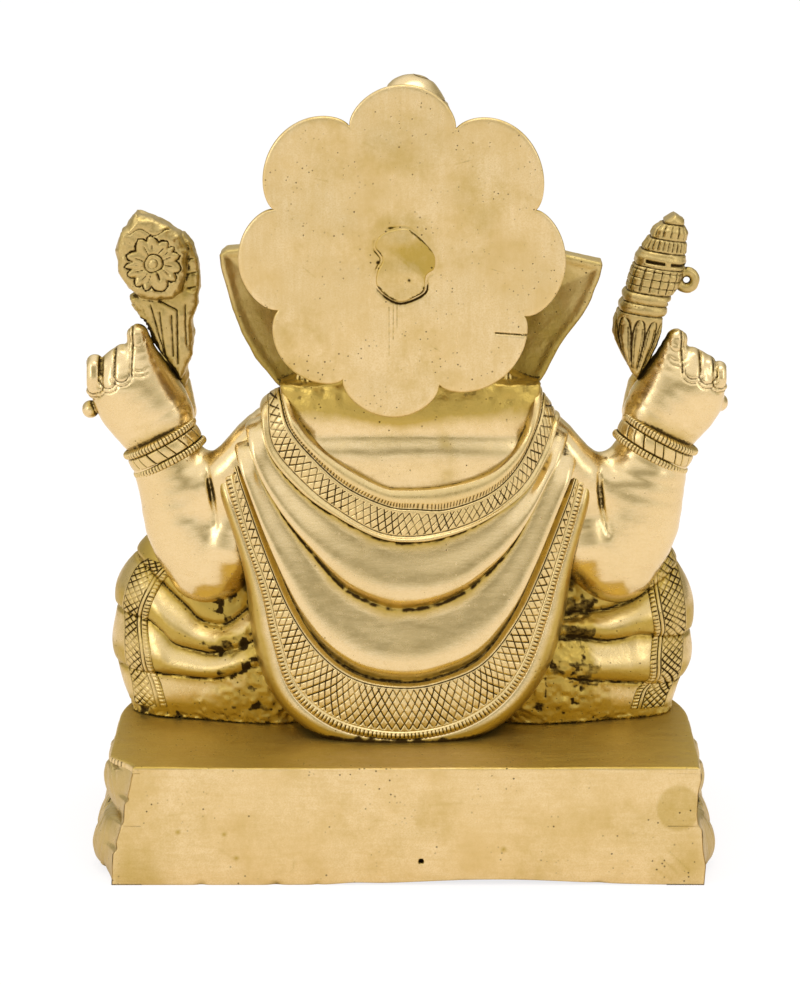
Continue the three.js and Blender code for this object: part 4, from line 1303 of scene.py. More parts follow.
# ---- rear hands ----
# The fist is seen from its back; each finger is a knuckle and a curled front part.
FIST = {
    LEFT: {
        "palm": [(60.0, 2.6, 100.5, 8.6), (62.6, 2.2, 106, 10.4), (66.4, 1.8, 111.5, 10.8),
                 (67.2, 1.8, 114.5, 9.6)],
        "index": [(62.6, 2.2, 114.5, 5.2), (64.2, 2.8, 120, 4.0), (65.7, 3.0, 126.6, 2.7)],
        "knuckles": [(69.7, 116.2, 121.4, 1.95), (73.1, 114.3, 118.7, 1.9), (76.5, 112.9, 118.6, 2.1)],
        "knob": (77.9, 0.5, 107.3), "crease": (65.0, 118.6)},
    RIGHT: {
        "palm": [(-62.6, 2.6, 101.5, 8.8), (-64.8, 2.2, 106.5, 10.4), (-68.4, 1.8, 111.2, 10.8),
                 (-69.2, 1.8, 113.5, 9.8)],
        "index": [(-64.0, 2.2, 114.5, 5.2), (-65.6, 2.8, 120, 4.0), (-67.2, 3.0, 125.4, 2.7)],
        "knuckles": [(-71.2, 117.0, 120.6, 2.05), (-75.0, 115.6, 118.6, 2.1), (-78.1, 113.8, 117.4, 1.75)],
        "knob": (-78.4, 0.5, 109.0), "crease": (-67.6, 121.0)},
}


def fist_shape(side):
    rows = FIST[side]

    def shape(p):
        d = limb(squash_y(p, 2, 0.72), rows["palm"], 7)
        d = smin(d, limb(p, rows["index"], 5), 1.6)
        for x, z0, z1, r in rows["knuckles"]:
            back = limb(p, [(x, 4.6, z0, r), (x, 4.0, z1, r), (x, -0.5, z1 + 0.2, r), (x, -6, z1 - 4, r),
                            (x - 0.8 * side, -6.4, z1 - 8, r * 0.95)], 8)
            d = smin(d, back, 0.35)
        kx, ky, kz = rows["knob"]
        d = smin(d, ball(p, (kx, ky, kz), (2.1, 2.6, 2.2)), 0.5)
        cx = rows["palm"][0][0]
        thumb = [(cx - 4 * side, -4, 106, 4.2), (cx - 2.5 * side, -8, 113, 3.5),
                 (cx + 3 * side, -8.6, 118, 2.7)]
        return smin(d, limb(p, thumb, 5), 1.2)
    return shape


def fist_detail(side):
    rows = FIST[side]

    def detail(v, n):
        height, dirt = soft_skin(v, n)
        back = v[:, 1] > 2
        arcs = [(x, z0 + 1.6, r) for x, z0, _, r in rows["knuckles"]]
        for x, zc, r in arcs:
            gap = np.hypot(v[:, 0] - x, v[:, 2] - zc)
            low = smooth(0.6, -0.4, v[:, 2] - zc)
            cut = (bell(gap - r * 1.05, 0.24) + 0.9 * bell(gap - r * 1.05 - 1.0, 0.22)) * low
            cut = cut * smooth(r + 1.0, r + 0.4, abs(v[:, 0] - x)) * back
            side_cut = bell(abs(v[:, 0] - x) - r * 1.02, 0.22) * smooth(zc - 0.5, zc + 0.5,
                                                                        v[:, 2]) * back * 0.7
            cut = np.clip(cut + side_cut, 0, 1)
            height -= 0.3 * cut
            dirt = np.maximum(dirt, 0.75 * cut)
        xs = sorted([x for x, _, _, _ in rows["knuckles"]] + [rows["index"][1][0]], key=abs)
        for a, b in zip(xs[:-1], xs[1:]):
            low_end = rows["knuckles"][0][1] + 0.4
            cut = bell(v[:, 0] - (a + b) / 2, 0.3) * smooth(low_end - 1, low_end + 1, v[:, 2]) * back
            height -= 0.5 * cut
            dirt = np.maximum(dirt, 0.85 * cut)
        cx, cz = rows["crease"]
        gap = np.hypot(v[:, 0] - cx, (v[:, 2] - cz - 3) * 0.9)
        for shift in (0, 1.1):
            cut = bell(gap - 3 - shift, 0.2) * smooth(0.5, -0.5, v[:, 2] - cz - 1) * back
            cut = cut * smooth(2.6, 1.8, abs(v[:, 0] - cx))
            height -= 0.22 * cut
            dirt = np.maximum(dirt, 0.55 * cut)
        tip = rows["index"][-1]
        nail = bell(np.hypot(v[:, 0] - tip[0], v[:, 2] - tip[2] + 0.6) - 1.9, 0.22) * back
        nail = nail * smooth(0.5, -0.4, v[:, 2] - tip[2] + 0.4)
        return height - 0.2 * nail, np.maximum(dirt, 0.5 * nail)
    return detail


def build_rear_hands():
    for side, name in SIDES:
        box = ((48, -11, 98), (82, 12, 131)) if side > 0 else ((-82, -11, 98), (-50, 12, 131))
        body(name + "_rear_hand", fist_shape(side), box, 0.36, BUFFED, "polished_brass", fist_detail(side))


# ---- lotus and mace ----
BOSS = (61.4, 144.6)  # middle of the rosette, x and z
DISC_OUTLINE = [(65.7, 157.2), (69.4, 152.2), (71.0, 147.6), (70.2, 142.1), (67.8, 137.9), (64.7, 135.6),
                (60.8, 135.0), (56.9, 135.6), (54.5, 137.2), (53.2, 142.1), (52.9, 147.6), (54.7, 151.9),
                (59.8, 155.3)]
BACK_ROW = [(54.1, 151.4), (51.9, 148.6), (50.4, 144.0), (50.2, 137.6), (51.6, 134.4), (57, 134), (60, 140),
            (60, 152)]
CALYX = [(67.8, 135.4), (66.0, 132.2), (63.6, 129.0), (61.9, 124.4), (58.7, 119.8), (55.4, 115.0),
         (53.9, 117.6),
         (52.3, 121.2), (52.0, 126.0), (52.2, 130.0), (50.8, 133.7), (50.4, 137.6), (56, 139), (64, 138)]


def lotus_shape(p):
    disc = polygon(p[0], p[2], DISC_OUTLINE)
    disc = smax(disc + 1.6, abs(p[1] - 1.0) - 3.4, 2.6) - 1.4
    back = smax(polygon(p[0], p[2], BACK_ROW) + 1.0, abs(p[1] + 1.0) - 2.6, 1.6) - 1.0
    calyx = smax(polygon(p[0], p[2], CALYX) + 1.2, abs(p[1] + 0.6) - 2.6, 2.4) - 1.2
    stem = limb(p, [(57.5, -3, 128, 2.6), (56, -4, 119, 2.6), (57, -5, 111, 2.4)], 4)
    return smin(smin(disc, back, 0.3), smin(calyx, stem, 0.8), 0.35)


def lotus_detail(v, n):
    height = 0.34 * NOISE.at(v, 2.3) + 0.12 * NOISE.at(v, 0.9)
    bx, bz = BOSS
    shake = 0.55 * NOISE.at(v + 40, 2.6)
    dx, dz = v[:, 0] - bx + shake, v[:, 2] - bz + 0.6 * NOISE.at(v + 70, 3.1)
    r = np.hypot(dx, dz)
    facing = smooth(0.2, 0.5, n[:, 1]) * (v[:, 1] > 2.4)
    on_disc = facing * (v[:, 2] > 134.5) * (v[:, 0] > 53.5)
    angle = np.arctan2(dz, dx)
    cell = angle / (2 * math.pi) * 13 + 0.25 * np.sin(angle * 2 + 1) + 0.12 * np.sin(angle * 5)
    across = nearest(cell) * 2 * math.pi / 14 * r
    rings = bell(r - 2.1, 0.2) + bell(r - 1.1, 0.18) * 0.7
    half = 1.35 * np.sqrt(np.clip(1 - ((r - 4.3) / 2.5) ** 2, 0, 1)) + 0.1
    petal_zone = smooth(2.2, 2.5, r) * smooth(7.3, 6.9, r)
    petals = bell(abs(across) - half, 0.25) * petal_zone + bell(across, 0.13) * smooth(2.3, 2.7,
                                                                                       r) * smooth(5.2,
                                                                                                   4.4, r)
    tips = bell(r - 6.9 + 0.6 * (abs(across) / 1.35), 0.2) * (abs(across) < 1.2)
    cut = np.clip(rings + petals + 0.8 * tips, 0, 1) * on_disc
    brow = bell(v[:, 2] - 152.4 - 0.8 * np.sin(v[:, 0] * 0.9), 0.22) * smooth(56, 57, v[:, 0]) * smooth(68,
                                                                                                        67,
                                                                                                        v[:,
                                                                                                          0])
    cut = np.maximum(cut, 0.8 * brow * facing)
    swell = 0.35 * bell(r, 1.3) + 0.25 * petal_zone * bell(across, 0.7)
    leaf = facing * (v[:, 2] < 135.4)
    for path, weight in (([(60.2, 135), (55.9, 132.7), (55.9, 119.2)], 1),
                         ([(60.2, 132.2), (59.2, 122)], 0.9),
                         ([(57.3, 131.3), (57, 121.1)], 0.9), ([(62.4, 134), (58.6, 119)], 0.9),
                         ([(53.9, 134), (53.6, 124)], 0.8)):
        gap = None
        for a, b in zip(path[:-1], path[1:]):
            d = capsule((v[:, 0], 0 * v[:, 1], v[:, 2]), (a[0], 0, a[1], 0), (b[0], 0, b[1], 0))
            gap = d if gap is None else np.minimum(gap, d)
        cut = np.maximum(cut, weight * bell(gap, 0.24) * leaf)
    row = facing * (v[:, 0] < 53.4) * (v[:, 2] > 135)
    cut = np.maximum(cut, grooves(v[:, 2] + 0.05 * 3.6 * v[:, 0], 3.6, 0.25) * row * 0.9)
    height = height + swell * on_disc - 0.5 * cut
    rough = (v[:, 2] < 134) * (v[:, 0] - (60.5 + (v[:, 2] - 120) * 0.28) > 0)
    grit = NOISE.at(v, 0.9)
    return height + 0.3 * rough * grit, np.clip(0.95 * cut + 0.55 * rough * np.clip(0.3 - grit, 0, 1), 0, 1)


MACE_LEFT = [(-57.9, 113.6), (-55.6, 117.1), (-52.3, 123.2), (-50.9, 126.5), (-51.1, 130.2), (-53.0, 134.8),
             (-55.6, 144.0), (-57.4, 148.2), (-60.5, 152.4), (-63.4, 155.5), (-66.3, 157.2)]
MACE_RIGHT = [(-69.1, 155.6), (-69.9, 152.6), (-70.5, 148.6), (-69.9, 143.5), (-68.2, 138.0), (-65.9, 134.9),
              (-65.3, 133.2), (-64.3, 130.2), (-64.2, 126.9), (-61.5, 119.5)]
MACE_RING = (-69.6, 139.8)  # middle of the small ring on its side, x and z
MACE_FOOT, MACE_TIP = np.array([-57.4, 115.7]), np.array([-66.6, 157.2])


def mace_shape(p):
    flat = polygon(p[0], p[2], MACE_LEFT + MACE_RIGHT)
    width = 6.8 - 3.0 * np.clip((p[2] - 141) / 16, 0, 1) - 2.4 * np.clip((124 - p[2]) / 9, 0, 1)
    middle = -57.6 - (p[2] - 128) * 0.29
    d = smax(flat + 1.5, np.sqrt(((p[0] - middle) / (width + 0.6)) ** 2
                                 + ((p[1] - 0.5) / (width * 0.86)) ** 2)
             * width - width, 2.0) - 0.9
    ring = np.sqrt((np.sqrt((p[0] - MACE_RING[0]) ** 2 + (p[2] - MACE_RING[1]) ** 2) - 2.0) ** 2
                   + (p[1] - 0.5) ** 2) - 1.25
    return smin(d, ring, 0.5)


def mace_detail(v, n):
    way = MACE_TIP - MACE_FOOT
    length = np.linalg.norm(way)
    way = way / length
    rel = v[:, [0, 2]] - MACE_FOOT
    across = rel @ np.array([way[1], -way[0]])
    rise = rel @ way + 0.055 * across  # along the axis, tipped so that the rings slant
    turn = np.arctan2(across, v[:, 1] + 0.001) * 6.2
    height = 0.1 * NOISE.at(v, 1.9) + 0.06 * NOISE.at(v, 0.8)
    grime = np.zeros(len(v))
    off_ring = (np.hypot(v[:, 0] - MACE_RING[0], v[:, 2] - MACE_RING[1]) > 3.4) | (abs(v[:, 1] - 0.5) > 2)

    def groove(values, depth, dirt):
        nonlocal height, grime
        values = values * off_ring
        height = height - depth * values
        grime = np.maximum(grime, dirt * np.clip(values, 0, 1))

    for level, wide in ((16.2, 0.25), (18.9, 0.22), (21.6, 0.3), (28.2, 0.25), (32.2, 0.3), (35.4, 0.3),
                        (39.4, 0.3)):
        groove(bell(rise - level, wide), 0.45, 0.8)
    for level in (17.5, 20.2, 30.1, 37.4):
        height = height + 0.35 * bell(rise - level, 0.8)
    back = v[:, 1] > 0
    beside = (across < -1.6) & (across > -6.5) | (across > -0.2) & (across < 4.8)
    slot = bell(rise - 29.6, 0.45) * beside * back
    groove(slot, 0.9, 1.0)
    slot = bell(rise - 20.0, 0.4) * (across < -2.6) * (across > -6) * back
    groove(slot, 0.7, 1.0)
    grid_zone = smooth(21.9, 22.2, rise) * smooth(28.0, 27.7, rise)
    groove(grooves(turn, 1.9, 0.2) * grid_zone, 0.3, 0.85)
    groove(grooves(rise, 1.95, 0.18) * grid_zone, 0.3, 0.8)
    flutes = smooth(32.5, 32.8, rise) * smooth(35.2, 34.9, rise)
    groove(grooves(turn, 1.3, 0.24) * flutes, 0.45, 0.8)
    petals = smooth(35.8, 36.1, rise) * smooth(39.2, 38.8, rise)
    groove(grooves(turn, 2.2, 0.26) * petals, 0.5, 0.85)
    leaf_zone = smooth(1.5, 3.0, rise) * smooth(15.6, 14.8, rise)
    spread = turn / (1.5 + 0.115 * np.clip(rise, 0, 16))
    edge = 0.46 * np.sqrt(np.clip(1 - np.clip((rise - 8.5) / 6.6, 0, 1) ** 2.6, 0, 1))
    cell = spread / 0.95 + 0.3
    local = abs(nearest(cell))
    groove(bell((local - edge) * 2.6, 0.26) * leaf_zone, 0.42, 0.85)
    groove(bell((local - edge * 0.55) * 2.6, 0.22) * leaf_zone * (rise < 13), 0.28, 0.7)
    return height, grime


def build_held():
    body("lotus", lotus_shape, ((48, -9, 108), (73, 7, 159)), 0.27, AGED, "aged_brass", lotus_detail)
    body("mace", mace_shape, ((-74, -8, 112), (-49, 9, 159)), 0.27, AGED, "aged_brass", mace_detail)


# ---- halo ----
# Notches between lobes: degrees clockwise from the top as seen from behind, and share of full radius.
CUSPS = [(-23.2, 0.815), (24.1, 0.80), (73.0, 0.856), (117.0, 0.85), (164.0, 0.835), (205.5, 0.857),
         (245.5, 0.838),
         (288.0, 0.828), (336.8, 0.815)]
LOBES = [1.0, 1.028, 1.014, 0.985, 1.01, 0.992, 1.014, 1.024]


def lobe_radius(angle):
    """Radius, as a share of the full one, of eight hand-filed round lobes."""
    deg = (np.degrees(angle) + 23.2) % 360 - 23.2
    total = np.zeros(np.shape(deg))
    for (a0, r0), (a1, r1), top in zip(CUSPS[:-1], CUSPS[1:], LOBES):
        t = np.clip((deg - a0) / (a1 - a0), 0, 1)
        base = r0 + (r1 - r0) * t
        bulge = base + (top - base) * np.clip(np.sin(math.pi * t), 0, 1) ** 0.62
        total = np.where((deg >= a0) & (deg <= a1), bulge, total)
    return total


HALO_SCARS = ((2.6, 131, 142), (3.6, 127, 139), (1.7, 134, 141))  # x, and z from and to
HALO_SCRATCHES = (  # x, z, length, lean
    (-24, 147, 3.5, 0.3), (21, 146, 4, 0.7), (18, 169, 3, 0.2), (-12, 173, 4, 2.9), (14, 133, 3, 1.1),
    (-27, 161, 2.6, 2.2), (27, 160, 2.2, 2.7), (-9, 128, 3, 0.5), (7, 177, 3.2, 0.4), (30, 140, 2.4, 1.3),
    (-20, 126, 3, 2.5))


def build_halo():
    cols = int(960 / COARSE)
    angle = np.linspace(0, 2 * math.pi, cols, endpoint=False)
    share = lobe_radius(angle)
    hole = 0.12
    rows = [(s, 0.0) for s in np.linspace(hole, 0.40, int(70 / COARSE), endpoint=False)]
    rows += [(s, 0.0) for s in np.linspace(0.40, 0.955, int(80 / COARSE))]
    rows += [(0.975, -0.02), (0.988, -0.09), (0.996, -0.25), (1.0, -0.55), (1.0, -1.5), (0.997, -2.3),
             (0.985, -2.8),
             (0.96, -3.0)]
    rows += [(s, -3.0) for s in np.linspace(0.93, hole, int(16 / COARSE))]
    sheet = []
    for s, y in rows:
        x = HALO["x"] - np.sin(angle) * HALO["rx"] * share * s
        z = HALO["z"] + np.cos(angle) * HALO["rz"] * share * s
        sheet.append(np.stack([x, np.full(cols, HALO["back"] + y), z], -1))
    sheet = np.array(sheet)
    flat = sheet.reshape(-1, 3)
    wave = 0.34 * NOISE.at(flat + 50, 17.0) + 0.12 * NOISE.at(flat, 6.5)
    flat[:, 1] += np.where(flat[:, 1] > HALO["back"] - 1, wave, 0)
    nick_run = np.clip((-22 - flat[:, 0]) / 10, 0, 1)  # short file slip below the right lobe
    nick = bell(flat[:, 2] - (132.6 - 0.35 * nick_run * 10 * 0.2),
                0.22) * (flat[:, 0] < -21.5) * (flat[:, 0] > -30.5)
    flat[:, 1] -= 0.6 * nick * (flat[:, 1] > 33)
    grime, scar = 0.9 * nick, np.zeros(len(flat))
    for x, z0, z1 in HALO_SCARS:
        scar = np.maximum(scar, bell(flat[:, 0] - x, 0.2) * (flat[:, 2] > z0) * (flat[:, 2] < z1))
    flat[:, 1] -= 0.1 * scar
    grime = np.maximum(grime, 0.5 * scar)
    for x0, z0, length, lean in HALO_SCRATCHES:
        tip = (x0 + length * math.cos(lean), 0, z0 + length * math.sin(lean), 0)
        gap = capsule((flat[:, 0], 0 * flat[:, 0], flat[:, 2]), (x0, 0, z0, 0), tip)
        grime = np.maximum(grime, 0.42 * bell(gap, 0.22))
    x, z, seen = flat[:, 0], flat[:, 2], flat[:, 1] > 33
    outline = polygon(x, z, PATCH)
    thick = 0.2 + 0.2 * bell(z - 140, 5) + 0.2 * bell(np.hypot(x - 5.5, z - 157), 4)
    strong = bell(z - 140.5, 4) + bell(np.hypot(x - 5.5, z - 157), 3) + 0.5 * bell(x - 6, 2.5)
    line = bell(outline - 0.1, thick) * smooth(-0.5, 0.1, NOISE.at(flat + 5, 3.6)) * np.clip(strong + 0.25,
                                                                                             0, 1)
    dots = bell(np.hypot(x - 6.2, z - 149.6), 0.6) + bell(np.hypot(x + 1.2, z - 145.2), 0.4)
    grime = np.maximum(grime, np.where(seen, np.maximum(0.95 * line, dots), 0))
    flat[:, 1] -= np.where(seen, 0.35 * line, 0)
    smudge = 0.34 * bell(np.hypot(x - 1, (z - 160) * 1.4), 13) + 0.3 * bell(np.hypot(x + 1,
                                                                                     (z - 176) * 1.3), 9)
    smudge = smudge + 0.34 * bell(np.hypot(x - 24, z - 129), 8) + 0.2 * bell(np.hypot(x + 20, z - 166), 10)
    smudge = smudge * (0.7 + 0.8 * NOISE.at(flat + 17, 7.0)) + 0.1 * smooth(0.0, 0.7,
                                                                            NOISE.at(flat + 3, 11.0))
    made = face_out(flat, grid_quads(len(rows), cols, wrap=True), grime, (0.5, 32.5, 152),
                    np.where(seen, np.clip(smudge, 0, 1), 0))
    piece("halo_flower", made, "polished_brass", FILED_FACE)

    def shape(p):
        dx, dz = (p[0] - HALO["x"]) / HALO["rx"], (p[2] - HALO["z"]) / HALO["rz"]
        r = np.sqrt(dx * dx + dz * dz) + 1e-6
        flat_d = (r - lobe_radius(np.arctan2(-dx, dz))) * 34
        return np.maximum(flat_d, abs(p[1] - HALO["back"] + 1.5) - 1.5)

    occluder(shape, (-39, 30, 111), (40, 35, 193))


# Outline of the peg's hammered end, x and z.
PATCH_CORNERS = [(4.0, 157.6), (-0.5, 158.2), (-3.6, 156.2), (-6.4, 153.6), (-7.9, 151.0), (-7.6, 147.6),
                 (-5.6, 146.0),
         (-5.2, 142.6), (-2.2, 140.6), (1.4, 139.8), (4.8, 141.6), (7.0, 144.4), (6.6, 148.0), (5.6, 150.4),
         (7.4, 153.2), (6.4, 156.0)]
PATCH = [tuple(at) for at in spline(PATCH_CORNERS + PATCH_CORNERS[:1], 56)[:-1]]


def build_peg():
    """End of the peg that carries the halo, hammered over and filed: an uneven patch in the middle."""
    def shape(p):
        flat = polygon(p[0], p[2], PATCH)
        top = smax(flat + 0.5, p[1] - 34.25, 0.7) - 0.15
        shaft = np.maximum(np.sqrt(((p[0] + 0.3) / 6.4) ** 2 + ((p[2] - 149) / 8.4) ** 2) * 6.4 - 6.4,
                           p[1] - 33.6)
        return np.maximum(np.minimum(top, shaft), 22.5 - p[1])

    def detail(v, n):
        on = (v[:, 1] > 33.6) * 1.0
        x, z = v[:, 0], v[:, 2]
        facet = smooth(-1.6, 1.6, 0.78 * (z - 148.6) - 0.62 * (x + 1.5) + 0.9 * NOISE.at(v, 2.6))
        facet = facet * smooth(-1.5, 1.5, 154 - z - 0.3 * x)
        seam = bell(0.78 * (z - 148.6) - 0.62 * (x + 1.5), 0.22) * smooth(153, 151, z)
        low = polygon(x, z, PATCH) > -0.9
        rim = low * smooth(-0.3, 0.2, NOISE.at(v, 3.1))
        dots = bell(np.hypot(x + 1.2, z - 145.4), 0.5) + bell(np.hypot(x + 4.6, z - 143.6), 0.35)
        cut = np.clip(0.7 * rim + 0.35 * seam + dots, 0, 1) * on
        return on * (0.2 * NOISE.at(v, 3.2) - 0.16 * facet), 0.9 * cut, (0.3 + 0.35 * facet) * on

    body("halo_peg", shape, ((-9, 22, 138), (9, 35, 160)), 0.3, FILED_FACE, "polished_brass", detail)


# ---- ears, head and crown ----
EAR = {
    LEFT: [(12, 158), (24, 159), (33, 154), (39.9, 149.4), (43.6, 149.0), (45.3, 147.6), (45.0, 144.4),
           (43.8, 139.4),
           (42.4, 133.8), (40.1, 127.8), (36.5, 121.5), (31.9, 115.5), (28.4, 112.2), (22, 113), (14, 124)],
    RIGHT: [(12, 158), (24, 158.4), (33, 152), (39.2, 147.9), (45.6, 146.4), (48.9, 145.6), (48.3, 142.0),
            (46.2, 136.6),
            (43.9, 132.2), (41.1, 128.6), (37.9, 123.8), (34.9, 117.9), (31.6, 112.6), (24, 112), (14, 124)],
}


def ear_shape(side):
    outline = EAR[side]

    def shape(q):
        p = flip_x(q, side)
        flat = polygon(p[0], p[2], outline)
        lean = 0.10 * (p[0] - 20)
        rim = smooth(-3.4, -0.6, flat)
        rear = 9.4 - lean * 0.4 + 0.8 * rim - 3.4 * smooth(0, -18, flat)
        front = 3.6 - lean + 0.9 * np.sin(p[0] * 0.5) * smooth(0, -6, flat) * 0.5
        d = smax(flat + 0.8, p[1] - rear, 1.6)
        return smax(d, front - p[1], 1.6) - 0.5
    return shape


def ear_detail(v, n):
    # painted shade: tint on each ear towards the head, where the halo hides and shades it, and a little more
    # over the whole right ear
    deep = 0.5 * smooth(45, 33, abs(v[:, 0]) + 0.35 * (v[:, 2] - 140)) * (n[:, 1] > 0.2)
    return 0.16 * NOISE.at(v, 4.2) + 0.05 * NOISE.at(v, 1.3), np.zeros(len(v)), deep + 0.12 * (v[:, 0] < 0)


def head_shape(p):
    d = ball(p, (0, 2, 140), (23, 23, 24))
    for s in (1, -1):
        q = flip_x(p, s)
        d = smin(d, ball(q, (8.5, -10, 152), (10.5, 11, 9)), 4)
        d = smin(d, ball(q, (12, -15, 131), (9, 9, 12)), 4)
        d = smin(d, ball(q, (10.8, -19.5, 141.5), (5.4, 4.0, 3.6)), 1.2)
        brow = limb(q, [(4, -21, 146, 1.2), (10, -22, 148.2, 1.5), (17, -16.5, 146.4, 1.1)], 6)
        d = smin(d, brow, 1.4)
    d = smin(d, ball(p, (0, 3, 124), (21, 18, 12)), 5)
    d = smin(d, ball(p, (0, -16, 134), (12, 12, 15)), 4)
    mouth = ball(p, (0, -19, 116.5), (9, 7, 5))
    return smin(d, mouth, 3)


def head_detail(v, n):
    height = 0.05 * NOISE.at(v, 5.0)
    dirt = np.zeros(len(v))
    x = abs(v[:, 0]) - 10.8
    z = v[:, 2] - 141.5
    front = v[:, 1] < -17
    lid = 2.1 * np.sqrt(np.clip(1 - (x / 5.0) ** 2, 0, 1))
    for edge, depth in ((z - lid * 0.8, 0.35), (z + lid * 0.85, 0.3)):
        cut = bell(edge, 0.3) * (abs(x) < 5.0) * front
        height -= depth * cut
        dirt = np.maximum(dirt, 0.7 * cut)
    pupil = bell(np.hypot(x, z + 0.1) - 1.2, 0.25) * front
    height -= 0.25 * pupil
    dirt = np.maximum(dirt, 0.6 * pupil)
    wrinkle = bell(np.sin(v[:, 2] * 1.5), 0.3) * smooth(8, 6,
                                                        abs(v[:, 0])) * (v[:, 1] < -20) * (v[:, 2] < 140)
    return height - 0.18 * wrinkle, np.maximum(dirt, 0.25 * wrinkle)


TRUNK = [(0, -24, 133, 10.5), (0, -34, 119, 9.2), (0, -39.5, 105, 7.7), (2, -41.5, 92, 6.7),
         (9, -42, 83, 5.9),
         (17.5, -42.4, 82.2, 5.1), (22, -42.8, 87.4, 4.3)]


def trunk_detail(v, n):
    path = spline(TRUNK, 160)
    run = np.concatenate([[0], np.cumsum(np.linalg.norm(np.diff(path[:, :3], axis=0), axis=1))])
    near = np.zeros(len(v))
    for i in range(0, len(v), 20000):
        gap = ((v[i:i + 20000, None] - path[None, :, :3]) ** 2).sum(-1)
        near[i:i + 20000] = run[gap.argmin(1)]
    cut = grooves(near, 3.1, 0.42) * smooth(6, 14, near)
    front = smooth(0.4, 0.0, n[:, 1])
    nostril = smooth(1.5, 0.9, np.hypot(v[:, 0] - 22.4, v[:, 1] + 42.8)) * (v[:, 2] > 89)
    return -0.3 * cut * front - 1.2 * nostril, np.maximum(0.4 * cut * front, 0.9 * nostril)


def tusk_shape(side):
    rows = [(9, -22, 122, 3.4), (13.5, -31, 116.2, 3.0), (15.4, -38, 114, 2.2)]
    rows += [(16.2, -44.4, 115.4, 1.0)] if side > 0 else []

    def shape(q):
        p = flip_x(q, side)
        d = limb(p, rows, 6)
        return d if side > 0 else smax(d, -(p[1] + 37.5), 0.5)
    return shape


def turned(name, foot, axis, profile, cols, material, slot, detail=None):
    """Solid of revolution; profile rows are radius, height; detail(angle, height) adds to the radius."""
    cols = int(cols / COARSE)
    axis, side, third = square_to(axis)
    rows = spline(profile, int(len(profile) * 12 / COARSE))
    rows[:, 0] = np.maximum(rows[:, 0], 0.02)
    angle = np.linspace(0, 2 * math.pi, cols, endpoint=False)
    radius = np.repeat(rows[:, :1], cols, 1)
    height = np.repeat(rows[:, 1:], cols, 1)
    grime = np.zeros(radius.shape)
    if detail is not None:
        extra, grime = detail(np.broadcast_to(angle, radius.shape), height, radius)
        radius = radius + extra * smooth(0.3, 1.5, radius)
    points = (
        np.array(foot) + axis * height[..., None]
        + side * (np.cos(angle) * radius)[..., None] + third * (np.sin(angle) * radius)[..., None]
    )
    middle = np.array(foot) + axis * rows[:, 1].max() / 2
    made = face_out(points.reshape(-1, 3), grid_quads(len(rows), cols, wrap=True), grime.ravel(), middle)
    piece(name, made, slot, material)
    low, high = rows[:, 1].min(), rows[:, 1].max()
    foot = np.array(foot)
    order = np.argsort(rows[:, 1])

    def shape(p):
        h, r = round_axis(p, foot, axis)
        wall = np.interp(h.ravel(), rows[order, 1], rows[order, 0]).reshape(h.shape)
        return np.maximum(r - wall, np.maximum(low - h, h - high))

    reach = rows[:, 0].max() + 2
    occluder(shape, np.minimum(foot, foot + axis * high) - reach,
             np.maximum(foot, foot + axis * high) + reach)


def crown_detail(angle, height, radius):
    petals = angle / (2 * math.pi) * 12
    across = nearest(petals) * 2
    tier = height / 6.6
    edge = 0.95 * np.sqrt(np.clip(1 - (tier % 1) ** 2.4, 0, 1))
    line = bell(abs(across) - edge, 0.07) + bell(nearest(tier) * 6.6, 0.35)
    swell = 0.9 * np.sqrt(np.clip(edge - abs(across), 0, 1))
    return swell - 0.5 * np.clip(line, 0, 1), 0.8 * np.clip(line, 0, 1)


def swirl_detail(angle, height, radius):
    """One shallow line that winds up the crown's tip."""
    turn = angle / (2 * math.pi) + height / 5.0
    cut = bell(nearest(turn) * 4, 0.28) * smooth(0.4, 1.2, height)
    return 0.25 * np.sin(2 * angle + 1) * smooth(0, 2, height) - 0.3 * cut, np.maximum(0.75 * cut,
                                                                                       bell(height, 0.5))


def milled_profile(width, pitch):
    def profile(u, v):
        near = np.minimum(v, width - v)
        cut = ticks(u, pitch, 0.24)
        bulge = 0.9 * np.sin(math.pi * np.clip(v / width, 0, 1))
        return bulge - 0.35 * cut - 0.5 * smooth(0.4, 0, near), 0.8 * cut
    return profile


